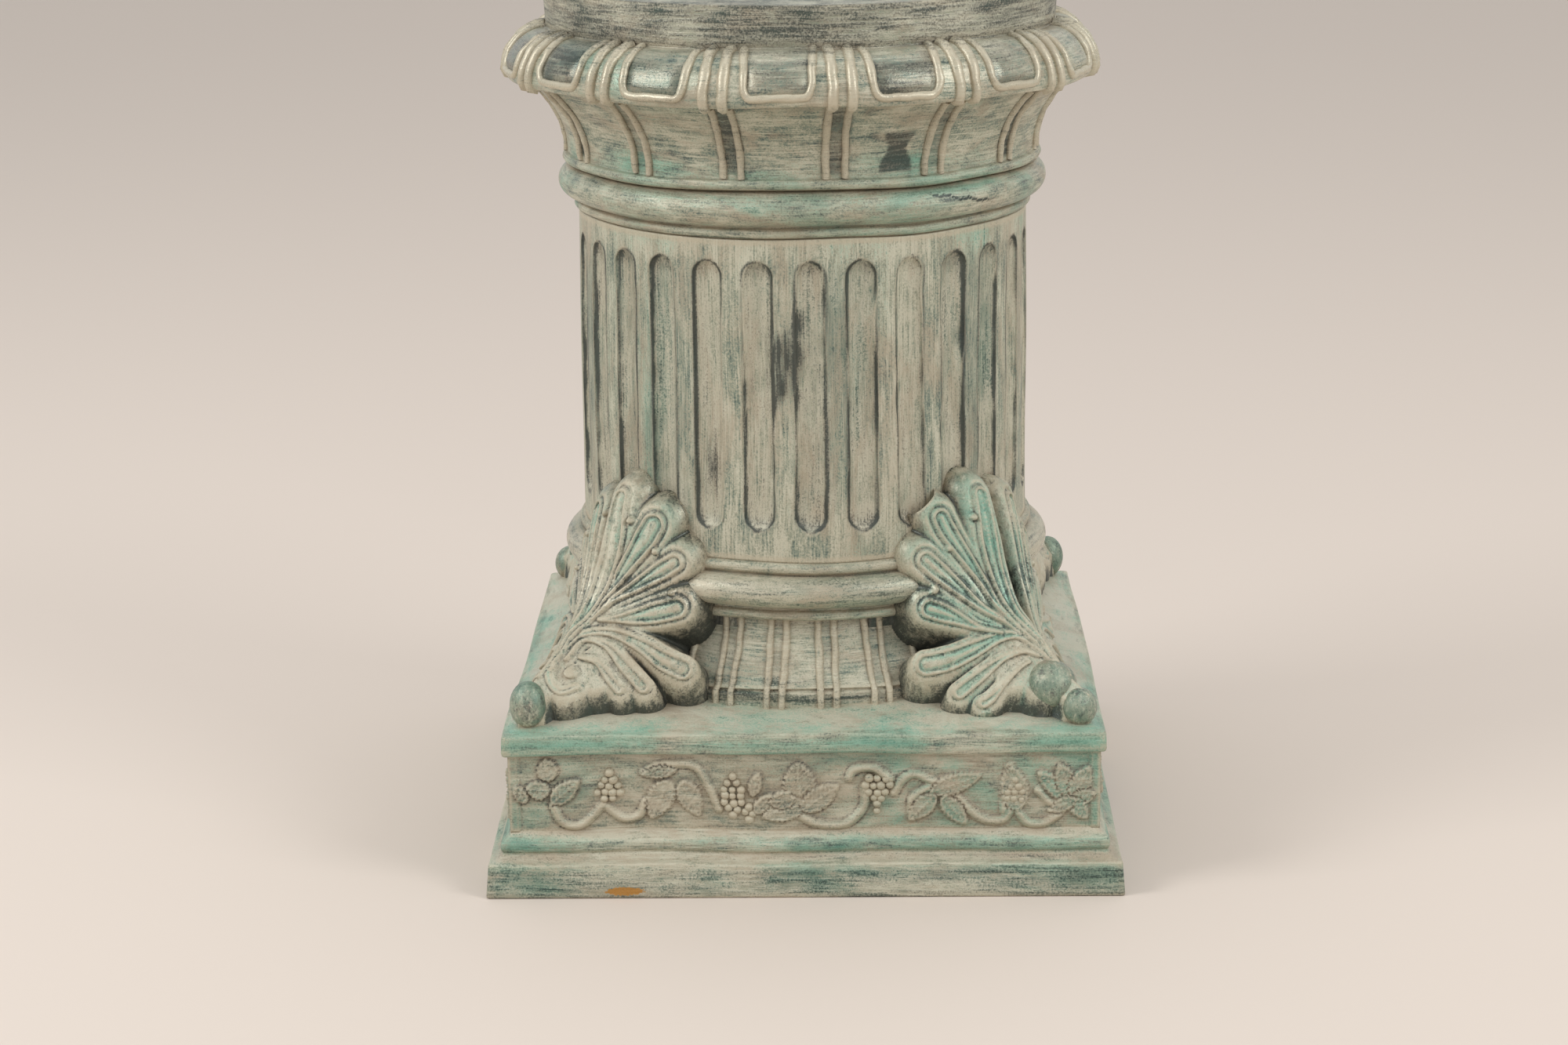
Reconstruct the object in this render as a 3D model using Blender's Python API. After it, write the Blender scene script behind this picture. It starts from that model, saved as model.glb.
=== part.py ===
# Cast bronze pedestal column: a square stepped plinth with a vine frieze, a round base with
# corner leaves, a fluted shaft, and a capital of paired ribs and framed panels. One casting.
# Units are metres, +Z is up, the origin is the middle of the underside and -Y is the front.

import math

import bmesh
import bpy
from mathutils import Matrix, Vector

# Square plinth, from the floor up. Half widths step in and out from the base block.
BASE_WIDTH = 0.430
BASE_DRAFT = 0.0013
BASE_HEIGHT = 0.0236
COVE_HEIGHT = 0.0054
BEAD_HEIGHT = 0.0095
BEAD_SWELL = 0.0014
BEAD_PROUD = 0.0065
SILL_HEIGHT = 0.0049
FRIEZE_INSET = 0.0175
FRIEZE_HEIGHT = 0.0534
SLAB_OVERHANG = 0.0052
SLAB_EDGE = 0.0149
SLAB_RISE = 0.0086
CROWN_SHARE = 0.68

# Round base that stands on the slab, with its paired ribs.
RIM_MARGIN = 0.0294
RIM_HEIGHT = 0.0111
SKIRT_HEIGHT = 0.0452
SKIRT_TUCK = 0.0077
SKIRT_FLARE = 1.7
SKIRT_PAIRS = 30
SKIRT_TURN = 5.6
SKIRT_RIB_WIDTH = 0.0052
SKIRT_RIB_SPACING = 0.0105
SKIRT_RIB_PROUD = 0.0024

# Mouldings under the shaft.
LOWER_FILLET_HEIGHT = 0.0102
LOWER_FILLET_PROUD = 0.0012
LOWER_TORUS_HEIGHT = 0.0219
LOWER_TORUS_PROUD = 0.0133
LOWER_BEAD_HEIGHT = 0.0076
LOWER_BEAD_PROUD = 0.0036

# Fluted shaft.
SHAFT_RADIUS = 0.1567
SHAFT_HEIGHT = 0.2221
FLUTES = 28
FLUTE_TURN = 2.3
FLUTE_WIDTH = 0.0200
FLUTE_DEPTH = 0.0042
FLUTE_BOTTOM_MARGIN = 0.0223
FLUTE_TOP_MARGIN = 0.0158
FLUTE_END = 0.35
FLUTE_TIP = 0.45

# Mouldings above the shaft.
UPPER_BEAD_HEIGHT = 0.0076
UPPER_BEAD_PROUD = 0.0030
UPPER_TORUS_HEIGHT = 0.0240
UPPER_TORUS_PROUD = 0.0136
UPPER_FILLET_HEIGHT = 0.0080
UPPER_FILLET_PROUD = 0.0101

# Capital: a bell with rib pairs, a cushion with framed panels, and the drum.
BELL_HEIGHT = 0.0514
BELL_FOOT_PROUD = 0.0066
BELL_HEAD_PROUD = 0.0330
BELL_FLARE = 2.2
CAPITAL_PAIRS = 15
CAPITAL_TURN = 8.4
CAPITAL_RIB_WIDTH = 0.0050
CAPITAL_RIB_SPACING = 0.0125
CAPITAL_RIB_PROUD = 0.0024
LIP_PROUD = 0.0458
CUSHION_SWELL = 0.0013
CUSHION_HEIGHT = 0.0348
CUSHION_SHOULDER = 0.1
PANEL_WIDTH = 0.0450
PANEL_FRAME = 0.0050
PANEL_FOOT = 0.92
PANEL_PROUD = 0.0022
DRUM_PROUD = 0.0199
DRUM_FLARE = 0.0010
DRUM_HEIGHT = 0.0285

# Corner leaves. Heights are measured from the slab's edge.
LEAF_HEIGHT = 0.1580
LEAF_SPREAD = 25.0
LEAF_TOE_INSET = 0.0160
LEAF_TOE_HEIGHT = 0.0240
LEAF_HOLD = 0.0110
LEAF_BED = 0.0100
LEAF_CORE = 0.80
LEAF_STEP = 0.0030
LOBE_PROUD = 0.0055
SCROLL_RADIUS = 0.0135
TOE_RADIUS = 0.0115

# Frieze relief.
FRIEZE_RELIEF = 0.0034
FRIEZE_BED = 0.0006
VINE_WIDTH = 0.0052

# Mesh fineness and how far a piece runs into the one that carries it.
ROUND_SIDES = 36
SCROLL_SIDES = 6
TORUS_STEPS = 4
BEAD_STEPS = 3
SKIRT_STEPS = 2
BELL_STEPS = 3
VINE_STEPS = 3
SUNK = 0.0040

PATINA = (0.33, 0.38, 0.32, 1.0)
PATINA_ROUGHNESS = 0.55
PATINA_METALLIC = 0.25

base_half = BASE_WIDTH / 2
frieze_half = base_half - FRIEZE_INSET
bead_half = frieze_half + BEAD_PROUD
slab_half = frieze_half + SLAB_OVERHANG
rim_radius = slab_half - RIM_MARGIN

frieze_floor = BASE_HEIGHT + COVE_HEIGHT + BEAD_HEIGHT + SILL_HEIGHT
slab_floor = frieze_floor + FRIEZE_HEIGHT
slab_edge = slab_floor + SLAB_EDGE
rim_floor = slab_edge + SLAB_RISE
skirt_floor = rim_floor + RIM_HEIGHT
fillet_floor = skirt_floor + SKIRT_HEIGHT
torus_floor = fillet_floor + LOWER_FILLET_HEIGHT
lower_bead_floor = torus_floor + LOWER_TORUS_HEIGHT
shaft_floor = lower_bead_floor + LOWER_BEAD_HEIGHT
shaft_head = shaft_floor + SHAFT_HEIGHT
upper_torus_floor = shaft_head + UPPER_BEAD_HEIGHT
upper_fillet_floor = upper_torus_floor + UPPER_TORUS_HEIGHT
bell_floor = upper_fillet_floor + UPPER_FILLET_HEIGHT
lip_level = bell_floor + BELL_HEIGHT
drum_floor = lip_level + CUSHION_HEIGHT
top_level = drum_floor + DRUM_HEIGHT


def clear_scene():
    for old in list(bpy.data.objects):
        bpy.data.objects.remove(old, do_unlink=True)


def patina_material():
    material = bpy.data.materials.new("verdigris_bronze")
    material.use_nodes = True
    shader = material.node_tree.nodes["Principled BSDF"]
    shader.inputs["Base Color"].default_value = PATINA
    shader.inputs["Roughness"].default_value = PATINA_ROUGHNESS
    shader.inputs["Metallic"].default_value = PATINA_METALLIC
    return material


def add_object(name, mesh, material):
    built = bpy.data.meshes.new(name)
    mesh.normal_update()
    mesh.to_mesh(built)
    mesh.free()
    built.materials.append(material)
    made = bpy.data.objects.new(name, built)
    bpy.context.scene.collection.objects.link(made)
    return made


def blend(first, last, share):
    return first + (last - first) * share


def at_azimuth(azimuth, radius, height):
    """Azimuth in degrees from the front, towards +X."""
    angle = math.radians(azimuth)
    return Vector((radius * math.sin(angle), -radius * math.cos(angle), height))


def add_ring(mesh, points):
    """Points are (azimuth, radius, height) with the azimuth rising once around."""
    ring = []
    for azimuth, radius, height in points:
        ring.append((azimuth, mesh.verts.new(at_azimuth(azimuth, radius, height))))
    return ring


def bridge_rings(mesh, lower, upper):
    """Joins two rings with quads, or with triangles where their counts differ."""
    if len(lower) == len(upper):
        for here in range(len(lower)):
            there = (here + 1) % len(lower)
            mesh.faces.new((lower[here][1], lower[there][1], upper[there][1], upper[here][1]))
        return
    low = high = 0
    while low < len(lower) or high < len(upper):
        low_next = lower[low + 1][0] if low + 1 < len(lower) else lower[0][0] + 360
        high_next = upper[high + 1][0] if high + 1 < len(upper) else upper[0][0] + 360
        low_here = lower[low % len(lower)][1]
        high_here = upper[high % len(upper)][1]
        if high >= len(upper) or (low < len(lower) and low_next <= high_next):
            mesh.faces.new((low_here, lower[(low + 1) % len(lower)][1], high_here))
            low += 1
        else:
            mesh.faces.new((low_here, upper[(high + 1) % len(upper)][1], high_here))
            high += 1


def plain_ring(mesh, radius, height):
    return add_ring(mesh, [(360 * side / ROUND_SIDES, radius, height) for side in range(ROUND_SIDES)])


def round_moulding(floor, height, proud, steps):
    """(radius, height) pairs up a half-round moulding on the shaft, its two ends left out."""
    pairs = []
    for step in range(1, steps):
        turn = math.pi * step / steps
        pairs.append((SHAFT_RADIUS + proud * math.sin(turn), floor + height * (1 - math.cos(turn)) / 2))
    return pairs


def arc_degrees(length, radius):
    return math.degrees(length / radius)


# Each band of ribs: how many pairs, the azimuth of one of them, and a rib's width, spacing and height.
SKIRT_RIBS = (SKIRT_PAIRS, SKIRT_TURN, SKIRT_RIB_WIDTH, SKIRT_RIB_SPACING, SKIRT_RIB_PROUD)
CAPITAL_RIBS = (CAPITAL_PAIRS, CAPITAL_TURN, CAPITAL_RIB_WIDTH, CAPITAL_RIB_SPACING, CAPITAL_RIB_PROUD)


def rib_pair(centre, radius, width, spacing, proud):
    """(azimuth, radius) of the five points across a pair of ribs."""
    half_space = arc_degrees(spacing / 2, radius)
    half_width = arc_degrees(width / 2, radius)
    return [
        (centre - half_space - half_width, radius),
        (centre - half_space, radius + proud),
        (centre, radius),
        (centre + half_space, radius + proud),
        (centre + half_space + half_width, radius),
    ]


def ribbed_ring(mesh, radius, height, ribs, point_between):
    """A ring across a band of rib pairs, with a point halfway between the pairs where asked."""
    pairs, turn, width, spacing, proud = ribs
    pitch = 360 / pairs
    points = []
    for pair in range(pairs):
        centre = turn % pitch + pitch * pair
        across = rib_pair(centre, radius, width, spacing, proud)
        if point_between:
            across.append((centre + pitch / 2, radius))
        points += [(azimuth, out, height) for azimuth, out in across]
    return add_ring(mesh, points)


def fluted_ring(mesh, height, width_share, depth_share):
    """A ring of the shaft: four points across each flute."""
    pitch = 360 / FLUTES
    half = arc_degrees(FLUTE_WIDTH / 2, SHAFT_RADIUS) * width_share
    floor_radius = SHAFT_RADIUS - FLUTE_DEPTH * depth_share
    points = []
    for flute in range(FLUTES):
        centre = FLUTE_TURN % pitch + pitch * flute
        points += [
            (centre - half, SHAFT_RADIUS, height),
            (centre - half / 2, floor_radius, height),
            (centre + half / 2, floor_radius, height),
            (centre + half, SHAFT_RADIUS, height),
        ]
    return add_ring(mesh, points)


def shaft_rings(mesh):
    """Rings up the shaft, close together where the flutes' ends are rounded."""
    flute_floor = shaft_floor + FLUTE_BOTTOM_MARGIN
    flute_head = shaft_head - FLUTE_TOP_MARGIN
    end = FLUTE_WIDTH * FLUTE_END
    rows = (
        (shaft_floor, FLUTE_TIP, 0.0),
        (flute_floor, FLUTE_TIP, 0.0),
        (flute_floor + end, 1.0, 1.0),
        (flute_head - end, 1.0, 1.0),
        (flute_head, FLUTE_TIP, 0.0),
        (shaft_head, FLUTE_TIP, 0.0),
    )
    return [fluted_ring(mesh, height, width, depth) for height, width, depth in rows]


def skirt_rings(mesh):
    """The rim and the flaring skirt of the round base, with ribs over both."""
    head_radius = SHAFT_RADIUS - SKIRT_TUCK
    levels = [(rim_radius, slab_edge - SUNK), (rim_radius, skirt_floor)]
    for step in range(1, SKIRT_STEPS + 1):
        share = step / SKIRT_STEPS
        radius = blend(head_radius, rim_radius, (1 - share) ** SKIRT_FLARE)
        levels.append((radius, skirt_floor + SKIRT_HEIGHT * share))
    return [ribbed_ring(mesh, radius, height, SKIRT_RIBS, False) for radius, height in levels]


def bell_rings(mesh):
    foot = SHAFT_RADIUS + BELL_FOOT_PROUD
    head = SHAFT_RADIUS + BELL_HEAD_PROUD
    levels = []
    for step in range(BELL_STEPS + 1):
        share = step / BELL_STEPS
        levels.append((blend(foot, head, share**BELL_FLARE), bell_floor + BELL_HEIGHT * share))
    return [ribbed_ring(mesh, radius, height, CAPITAL_RIBS, True) for radius, height in levels]


def cushion_profile(share):
    """Radius and height up the cushion's quarter round, from the lip to the drum."""
    lip_radius = SHAFT_RADIUS + LIP_PROUD
    drum_radius = SHAFT_RADIUS + DRUM_PROUD
    if share <= 0:
        return lip_radius, lip_level
    turn = math.radians(90 * share)
    swell = lip_radius + CUSHION_SWELL - drum_radius
    shoulder = lip_level + CUSHION_HEIGHT * CUSHION_SHOULDER
    return drum_radius + swell * math.cos(turn), blend(shoulder, drum_floor, math.sin(turn))


def cushion_ring(mesh, share, frame_row):
    """frame_row says what this ring crosses of the U frames: the lip, their foot, or their legs."""
    radius, height = cushion_profile(share)
    pitch = 360 / CAPITAL_PAIRS
    half = arc_degrees(PANEL_WIDTH / 2, radius) * (PANEL_FOOT if frame_row == "foot" else 1.0)
    frame = arc_degrees(PANEL_FRAME, radius)
    leg = PANEL_PROUD if frame_row != "lip" else 0.0
    foot = PANEL_PROUD if frame_row == "foot" else 0.0
    rib = 0.0 if frame_row == "lip" else CAPITAL_RIB_PROUD
    points = []
    for pair in range(CAPITAL_PAIRS):
        centre = CAPITAL_TURN % pitch + pitch * pair
        ribs = rib_pair(centre, radius, CAPITAL_RIB_WIDTH, CAPITAL_RIB_SPACING, rib)
        points += [(azimuth, out, height) for azimuth, out in ribs]
        panel = centre + pitch / 2
        across = (
            (panel - half, 0.0),
            (panel - half + frame / 2, leg),
            (panel - half + frame, foot),
            (panel + half - frame, foot),
            (panel + half - frame / 2, leg),
            (panel + half, 0.0),
        )
        points += [(azimuth, radius + out, height) for azimuth, out in across]
    return add_ring(mesh, points)


def cushion_rings(mesh):
    """Rings up the cushion. Each is a share of its quarter round."""
    rows = ((0.0, "lip"), (0.12, "foot"), (0.24, "legs"), (0.55, "legs"), (0.95, "legs"))
    return [cushion_ring(mesh, share, frame_row) for share, frame_row in rows]


def column_mesh():
    """Everything round, from inside the slab to the top, as one closed stack of rings."""
    mesh = bmesh.new()
    rings = skirt_rings(mesh)
    low = SHAFT_RADIUS + LOWER_FILLET_PROUD
    plain = [(low, fillet_floor), (low, torus_floor)]
    plain += round_moulding(torus_floor, LOWER_TORUS_HEIGHT, LOWER_TORUS_PROUD, TORUS_STEPS)
    plain += [(low, lower_bead_floor)]
    plain += round_moulding(lower_bead_floor, LOWER_BEAD_HEIGHT, LOWER_BEAD_PROUD, BEAD_STEPS)
    rings += [plain_ring(mesh, radius, height) for radius, height in plain]
    rings += shaft_rings(mesh)
    plain = round_moulding(shaft_head, UPPER_BEAD_HEIGHT, UPPER_BEAD_PROUD, BEAD_STEPS)
    plain += [(SHAFT_RADIUS, upper_torus_floor)]
    plain += round_moulding(upper_torus_floor, UPPER_TORUS_HEIGHT, UPPER_TORUS_PROUD, TORUS_STEPS)
    high = SHAFT_RADIUS + UPPER_FILLET_PROUD
    plain += [(high, upper_fillet_floor), (high, bell_floor)]
    rings += [plain_ring(mesh, radius, height) for radius, height in plain]
    rings += bell_rings(mesh)
    rings += cushion_rings(mesh)
    drum = SHAFT_RADIUS + DRUM_PROUD
    rings += [plain_ring(mesh, drum, drum_floor), plain_ring(mesh, drum + DRUM_FLARE, top_level)]
    for lower, upper in zip(rings, rings[1:]):
        bridge_rings(mesh, lower, upper)
    mesh.faces.new([vertex for _, vertex in reversed(rings[0])])
    mesh.faces.new([vertex for _, vertex in rings[-1]])
    return mesh


def loft(mesh, loops):
    """Closes a row of equal loops, each turning left seen from the last one, into one body."""
    rows = [[mesh.verts.new(point) for point in loop] for loop in loops]
    for first, second in zip(rows, rows[1:]):
        for here in range(len(first)):
            there = (here + 1) % len(first)
            mesh.faces.new((first[here], first[there], second[there], second[here]))
    mesh.faces.new(list(reversed(rows[0])))
    mesh.faces.new(rows[-1])


def square_loop(half, height):
    return [Vector((x * half, y * half, height)) for x, y in ((-1, -1), (1, -1), (1, 1), (-1, 1))]


def plinth_mesh():
    cove_floor = BASE_HEIGHT
    bead_floor = cove_floor + COVE_HEIGHT
    bead_head = bead_floor + BEAD_HEIGHT
    crown_half = rim_radius * CROWN_SHARE
    crown = slab_edge + SLAB_RISE * (slab_half - crown_half) / RIM_MARGIN
    steps = (
        (base_half, 0.0),
        (base_half - BASE_DRAFT, cove_floor),
        (blend(bead_half, base_half, 0.35), blend(cove_floor, bead_floor, 0.45)),
        (bead_half, bead_floor),
        (bead_half + BEAD_SWELL, blend(bead_floor, bead_head, 0.3)),
        (bead_half + BEAD_SWELL, blend(bead_floor, bead_head, 0.7)),
        (bead_half, bead_head),
        (blend(frieze_half, bead_half, 0.3), blend(bead_head, frieze_floor, 0.5)),
        (frieze_half, frieze_floor),
        (frieze_half, slab_floor),
        (slab_half, slab_floor),
        (slab_half, slab_edge),
        (crown_half, crown),
    )
    mesh = bmesh.new()
    loft(mesh, [square_loop(half, height) for half, height in steps])
    return mesh


def bezier(points, share):
    """A point on the cubic curve of four control points, of any number of coordinates."""
    rest = 1 - share
    weights = (rest**3, 3 * rest**2 * share, 3 * rest * share**2, share**3)
    return [sum(weight * value for weight, value in zip(weights, values)) for values in zip(*points)]


# The leaf's ridge lies on the corner's diagonal. It leaves the shaft at the leaf's tip (down = 0)
# and sweeps out to the toe on the slab's corner (down = 1). Its two edges hug the round base.
corner_reach = slab_half * math.sqrt(2) - LEAF_TOE_INSET
leaf_tip = slab_edge + LEAF_HEIGHT
leaf_ridge = (
    (0.0, SHAFT_RADIUS + LEAF_HOLD, leaf_tip),
    (0.0, blend(SHAFT_RADIUS, corner_reach, 0.42), slab_edge + LEAF_HEIGHT * 0.66),
    (0.0, blend(SHAFT_RADIUS, corner_reach, 0.42), slab_edge + LEAF_HEIGHT * 0.34),
    (0.0, corner_reach, slab_edge + LEAF_TOE_HEIGHT),
)
leaf_edge = (
    (LEAF_SPREAD * 0.16, SHAFT_RADIUS + LEAF_HOLD, leaf_tip),
    (LEAF_SPREAD * 0.88, SHAFT_RADIUS + LEAF_HOLD, slab_edge + LEAF_HEIGHT * 0.78),
    (LEAF_SPREAD * 1.04, SHAFT_RADIUS + LEAF_HOLD * 2.2, slab_edge + LEAF_HEIGHT * 0.34),
    (LEAF_SPREAD * 0.56, blend(SHAFT_RADIUS, corner_reach, 0.60), slab_edge + LEAF_HEIGHT * 0.06),
)


def leaf_point(down, across, lift):
    """A point of the leaf's face in the corner's frame (+X out along the diagonal, +Y to one side)."""
    _, ridge_reach, ridge_height = bezier(leaf_ridge, down)
    turn, edge_reach, edge_height = bezier(leaf_edge, down)
    angle = math.radians(turn)
    share = abs(across)
    side = math.copysign(1.0, across)
    out = blend(ridge_reach, edge_reach * math.cos(angle), share) + lift
    aside = side * (edge_reach * math.sin(angle) * share + lift * min(share * 2, 1.0) * 0.6)
    return Vector((out, aside, blend(ridge_height, edge_height, share)))


def leaf_back(mesh):
    """The thick backing that fills the space between the leaf's face and the round base."""
    loops = []
    core = min(SHAFT_RADIUS, rim_radius) * LEAF_CORE
    for down in (0.0, 0.25, 0.5, 0.75, 1.0):
        loop = [leaf_point(down, across, -LEAF_STEP) for across in (-1.1, -0.55, 0.0, 0.55, 1.1)]
        for edge in (loop[4], loop[0]):
            inward = core / math.hypot(edge.x, edge.y)
            loop.append(Vector((edge.x * inward, edge.y * inward, edge.z)))
        loops.append(loop)
    foot = [Vector((point.x, point.y, slab_edge - SUNK)) for point in loops[-1]]
    loft(mesh, loops + [foot])


# Lobes of one half of a leaf, from its middle outwards: root, bend and tip as (down, across).
middle_lobe = ((0.66, 0.0), (0.40, 0.0), (0.01, 0.0))
half_lobes = (
    middle_lobe,
    ((0.70, 0.04), (0.40, 0.30), (0.16, 0.92)),
    ((0.74, 0.08), (0.54, 0.46), (0.39, 1.04)),
    ((0.79, 0.12), (0.64, 0.56), (0.59, 1.04)),
    ((0.85, 0.18), (0.70, 0.62), (0.84, 1.06)),
    ((0.92, 0.28), (0.84, 0.60), (0.96, 0.84)),
)
LOBE_STATIONS = (0.0, 0.4, 0.82, 1.0)
VALLEY_REACH = 0.86


def along(curve, share):
    """A place on a quadratic curve of three places."""
    rest = 1 - share
    return [rest * rest * a + 2 * rest * share * b + share * share * c for a, b, c in zip(*curve)]


def between(first, second, share):
    return [blend(a, b, share) for a, b in zip(first, second)]


def fan_columns():
    """Columns across half a leaf, each a row of (down, across, lift), from its middle out."""
    columns = []
    for index, curve in enumerate(half_lobes):
        inner = half_lobes[index - 1] if index else None
        outer = half_lobes[index + 1] if index + 1 < len(half_lobes) else None
        sides = [("middle", None)] if inner is None else [("crest", inner)]
        sides += [("crest", outer), ("valley", outer)]
        for kind, neighbour in sides:
            column = []
            for station in LOBE_STATIONS:
                swell = math.sin(math.pi * min(station, 0.92) / 1.84)
                here = along(curve, station)
                if kind == "middle":
                    column.append((*here, LOBE_PROUD * blend(0.35, 0.45, swell)))
                    continue
                reach = station if kind == "crest" else station * VALLEY_REACH
                own = along(curve, reach)
                if neighbour is None:
                    other = (own[0] + 0.12 * reach, own[1] - 0.10 * reach)
                else:
                    other = along(neighbour, reach)
                share = 0.5 if kind == "valley" else blend(0.24, 0.12, max(0.0, station - 0.9) * 10)
                lift = blend(0.35, 1.0, swell) if kind == "crest" else blend(0.35, 0.0, swell)
                if kind == "crest" and station == 1.0:
                    lift = 0.5
                column.append((*between(own, other, share), LOBE_PROUD * lift))
            columns.append(column)
    return columns


def leaf_fan(mesh):
    """The leaf's lobes as one thick sheet: a fan of ridges and valleys over the backing."""
    half = fan_columns()
    mirrored = [[(down, -across, lift) for down, across, lift in column] for column in half[1:]]
    columns = mirrored[::-1] + half
    sheets = []
    for sunk in (False, True):
        sheet = []
        for column in columns:
            row = []
            for down, across, lift in column:
                point = leaf_point(down, across, 0.0 if sunk else lift)
                if sunk:
                    point.x -= LEAF_BED
                row.append(mesh.verts.new(point))
            sheet.append(row)
        sheets.append(sheet)
    top, bed = sheets
    last = len(columns) - 1
    middle = len(half) - 1
    ends = len(LOBE_STATIONS) - 1
    for column in range(last):
        for station in range(ends):
            here, there = station, station + 1
            corners = ((column, here), (column + 1, here), (column + 1, there), (column, there))
            mesh.faces.new([top[c][s] for c, s in corners])
            mesh.faces.new([bed[c][s] for c, s in reversed(corners)])
        beside = column + 1
        mesh.faces.new((top[column][ends], top[beside][ends], bed[beside][ends], bed[column][ends]))
    for station in range(ends):
        for column in (0, last):
            here, there = station, station + 1
            mesh.faces.new((top[column][here], top[column][there], bed[column][there], bed[column][here]))
    for step in range(middle):
        left, right = middle - step, middle + step
        wide = (left - 1, right + 1)
        for sheet in (top, bed):
            if step == 0:
                mesh.faces.new((sheet[middle][0], sheet[wide[0]][0], sheet[wide[1]][0]))
            else:
                mesh.faces.new((sheet[left][0], sheet[wide[0]][0], sheet[wide[1]][0], sheet[right][0]))
    mesh.faces.new((top[0][0], bed[0][0], bed[last][0], top[last][0]))


def prism(mesh, centre, axis, radius, half_length):
    """A short round bar: the end of a scroll."""
    axis = axis.normalized()
    across = axis.orthogonal().normalized()
    up = axis.cross(across)
    loops = []
    for offset in (-half_length, half_length):
        loop = []
        for side in range(SCROLL_SIDES):
            angle = 2 * math.pi * side / SCROLL_SIDES
            outward = across * math.cos(angle) + up * math.sin(angle)
            loop.append(centre + axis * offset + outward * radius)
        loops.append(loop)
    loft(mesh, loops)


def leaf_scrolls(mesh):
    """The two curled ends beside the toe, one on each face of the leaf."""
    for side in (-1, 1):
        face = leaf_point(0.95, 0.40 * side, 0.0)
        face.z = slab_edge + SCROLL_RADIUS + LEAF_TOE_HEIGHT * 0.25
        prism(mesh, face, Vector((1.0, 1.2 * side, 0.0)), SCROLL_RADIUS, LOBE_PROUD + SUNK)


def leaf_toe(mesh):
    """The rolled toe on the slab's corner."""
    toe = Vector((corner_reach, 0.0, slab_edge + TOE_RADIUS * 1.35))
    prism(mesh, toe, Vector((0.0, 1.0, 0.0)), TOE_RADIUS, TOE_RADIUS * 0.95)


def four_times(builder, first_turn):
    """One mesh with the builder's closed shape turned to each of the four sides or corners."""
    whole = bmesh.new()
    for quarter in range(4):
        before = len(whole.verts)
        builder(whole)
        whole.verts.ensure_lookup_table()
        turn = Matrix.Rotation(math.radians(first_turn + 90 * quarter), 3, "Z")
        bmesh.ops.rotate(whole, verts=whole.verts[before:], cent=(0, 0, 0), matrix=turn)
    bmesh.ops.recalc_face_normals(whole, faces=whole.faces)
    return whole


# Frieze motifs across one side. Places are shares of the panel's half length and height.
# A vine is three places (start, bend, end), a leaf is place, size and turn, berries are place and size.
frieze_vines = (
    ((-0.88, 0.46), (-0.72, -0.10), (-0.52, 0.52)),
    ((-0.46, 0.30), (-0.38, 1.32), (-0.22, 0.25)),
    ((-0.06, 0.42), (0.08, -0.22), (0.20, 0.50)),
    ((0.16, 0.86), (0.30, 1.00), (0.34, 0.52)),
    ((0.36, 0.72), (0.58, 0.80), (0.62, 0.20)),
    ((0.64, 0.22), (0.78, 0.06), (0.90, 0.34)),
)
frieze_leaves = (
    ((-0.82, 0.66), 0.30, 20),
    ((-0.40, 0.40), 0.26, -70),
    ((0.00, 0.66), 0.34, 15),
    ((0.44, 0.42), 0.26, 200),
    ((0.84, 0.62), 0.34, 30),
)
frieze_berries = (
    ((-0.64, 0.62), 0.24),
    ((-0.18, 0.62), 0.30),
    ((0.24, 0.66), 0.24),
    ((0.68, 0.66), 0.24),
)


def frieze_point(place, lift):
    """A place on the front panel: shares of its half length and of its height."""
    along, up = place
    return Vector((along * frieze_half, -frieze_half - lift, frieze_floor + up * FRIEZE_HEIGHT))


def raised_vine(mesh, start, bend, end):
    loops = []
    for step in range(VINE_STEPS + 1):
        share = step / VINE_STEPS
        place = along((start, bend, end), share)
        ahead = [2 * (1 - share) * (b - a) + 2 * share * (c - b) for a, b, c in zip(start, bend, end)]
        direction = Vector((ahead[0] * frieze_half, 0.0, ahead[1] * FRIEZE_HEIGHT)).normalized()
        sideways = direction.cross(Vector((0.0, -1.0, 0.0)))
        here = frieze_point(place, 0.0)
        out = Vector((0.0, -1.0, 0.0))
        loops.append(
            [
                here - sideways * VINE_WIDTH / 2 - out * FRIEZE_BED,
                here + sideways * VINE_WIDTH / 2 - out * FRIEZE_BED,
                here + out * FRIEZE_RELIEF,
            ]
        )
    loft(mesh, loops)


def raised_shape(mesh, outline, middle):
    """A low pointed relief over an outline on the panel."""
    back = [mesh.verts.new(Vector((point.x, point.y + FRIEZE_BED, point.z))) for point in outline]
    peak = mesh.verts.new(middle)
    mesh.faces.new(back)
    for here in range(len(back)):
        mesh.faces.new((back[here], back[(here + 1) % len(back)], peak))


def raised_leaf(mesh, place, size, turn):
    """A vine leaf: four points around a raised middle."""
    centre = frieze_point(place, 0.0)
    outline = []
    for step in range(8):
        angle = math.radians(turn + 45 * step)
        reach = FRIEZE_HEIGHT * size * (1.1 if step % 2 == 0 else 0.6)
        outline.append(centre + Vector((math.cos(angle) * reach, 0.0, math.sin(angle) * reach)))
    raised_shape(mesh, outline, centre + Vector((0.0, -FRIEZE_RELIEF, 0.0)))


def raised_berries(mesh, place, size):
    """A grape cluster as one lump that narrows downwards."""
    centre = frieze_point(place, 0.0)
    drop = FRIEZE_HEIGHT * size
    outline = []
    for along_share, up_share in ((-0.45, 0.75), (0.45, 0.75), (0.75, 0.25), (0.0, -1.0), (-0.75, 0.25)):
        outline.append(centre + Vector((along_share * drop, 0.0, up_share * drop)))
    raised_shape(mesh, outline, centre + Vector((0.0, -FRIEZE_RELIEF, drop * 0.2)))


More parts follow.
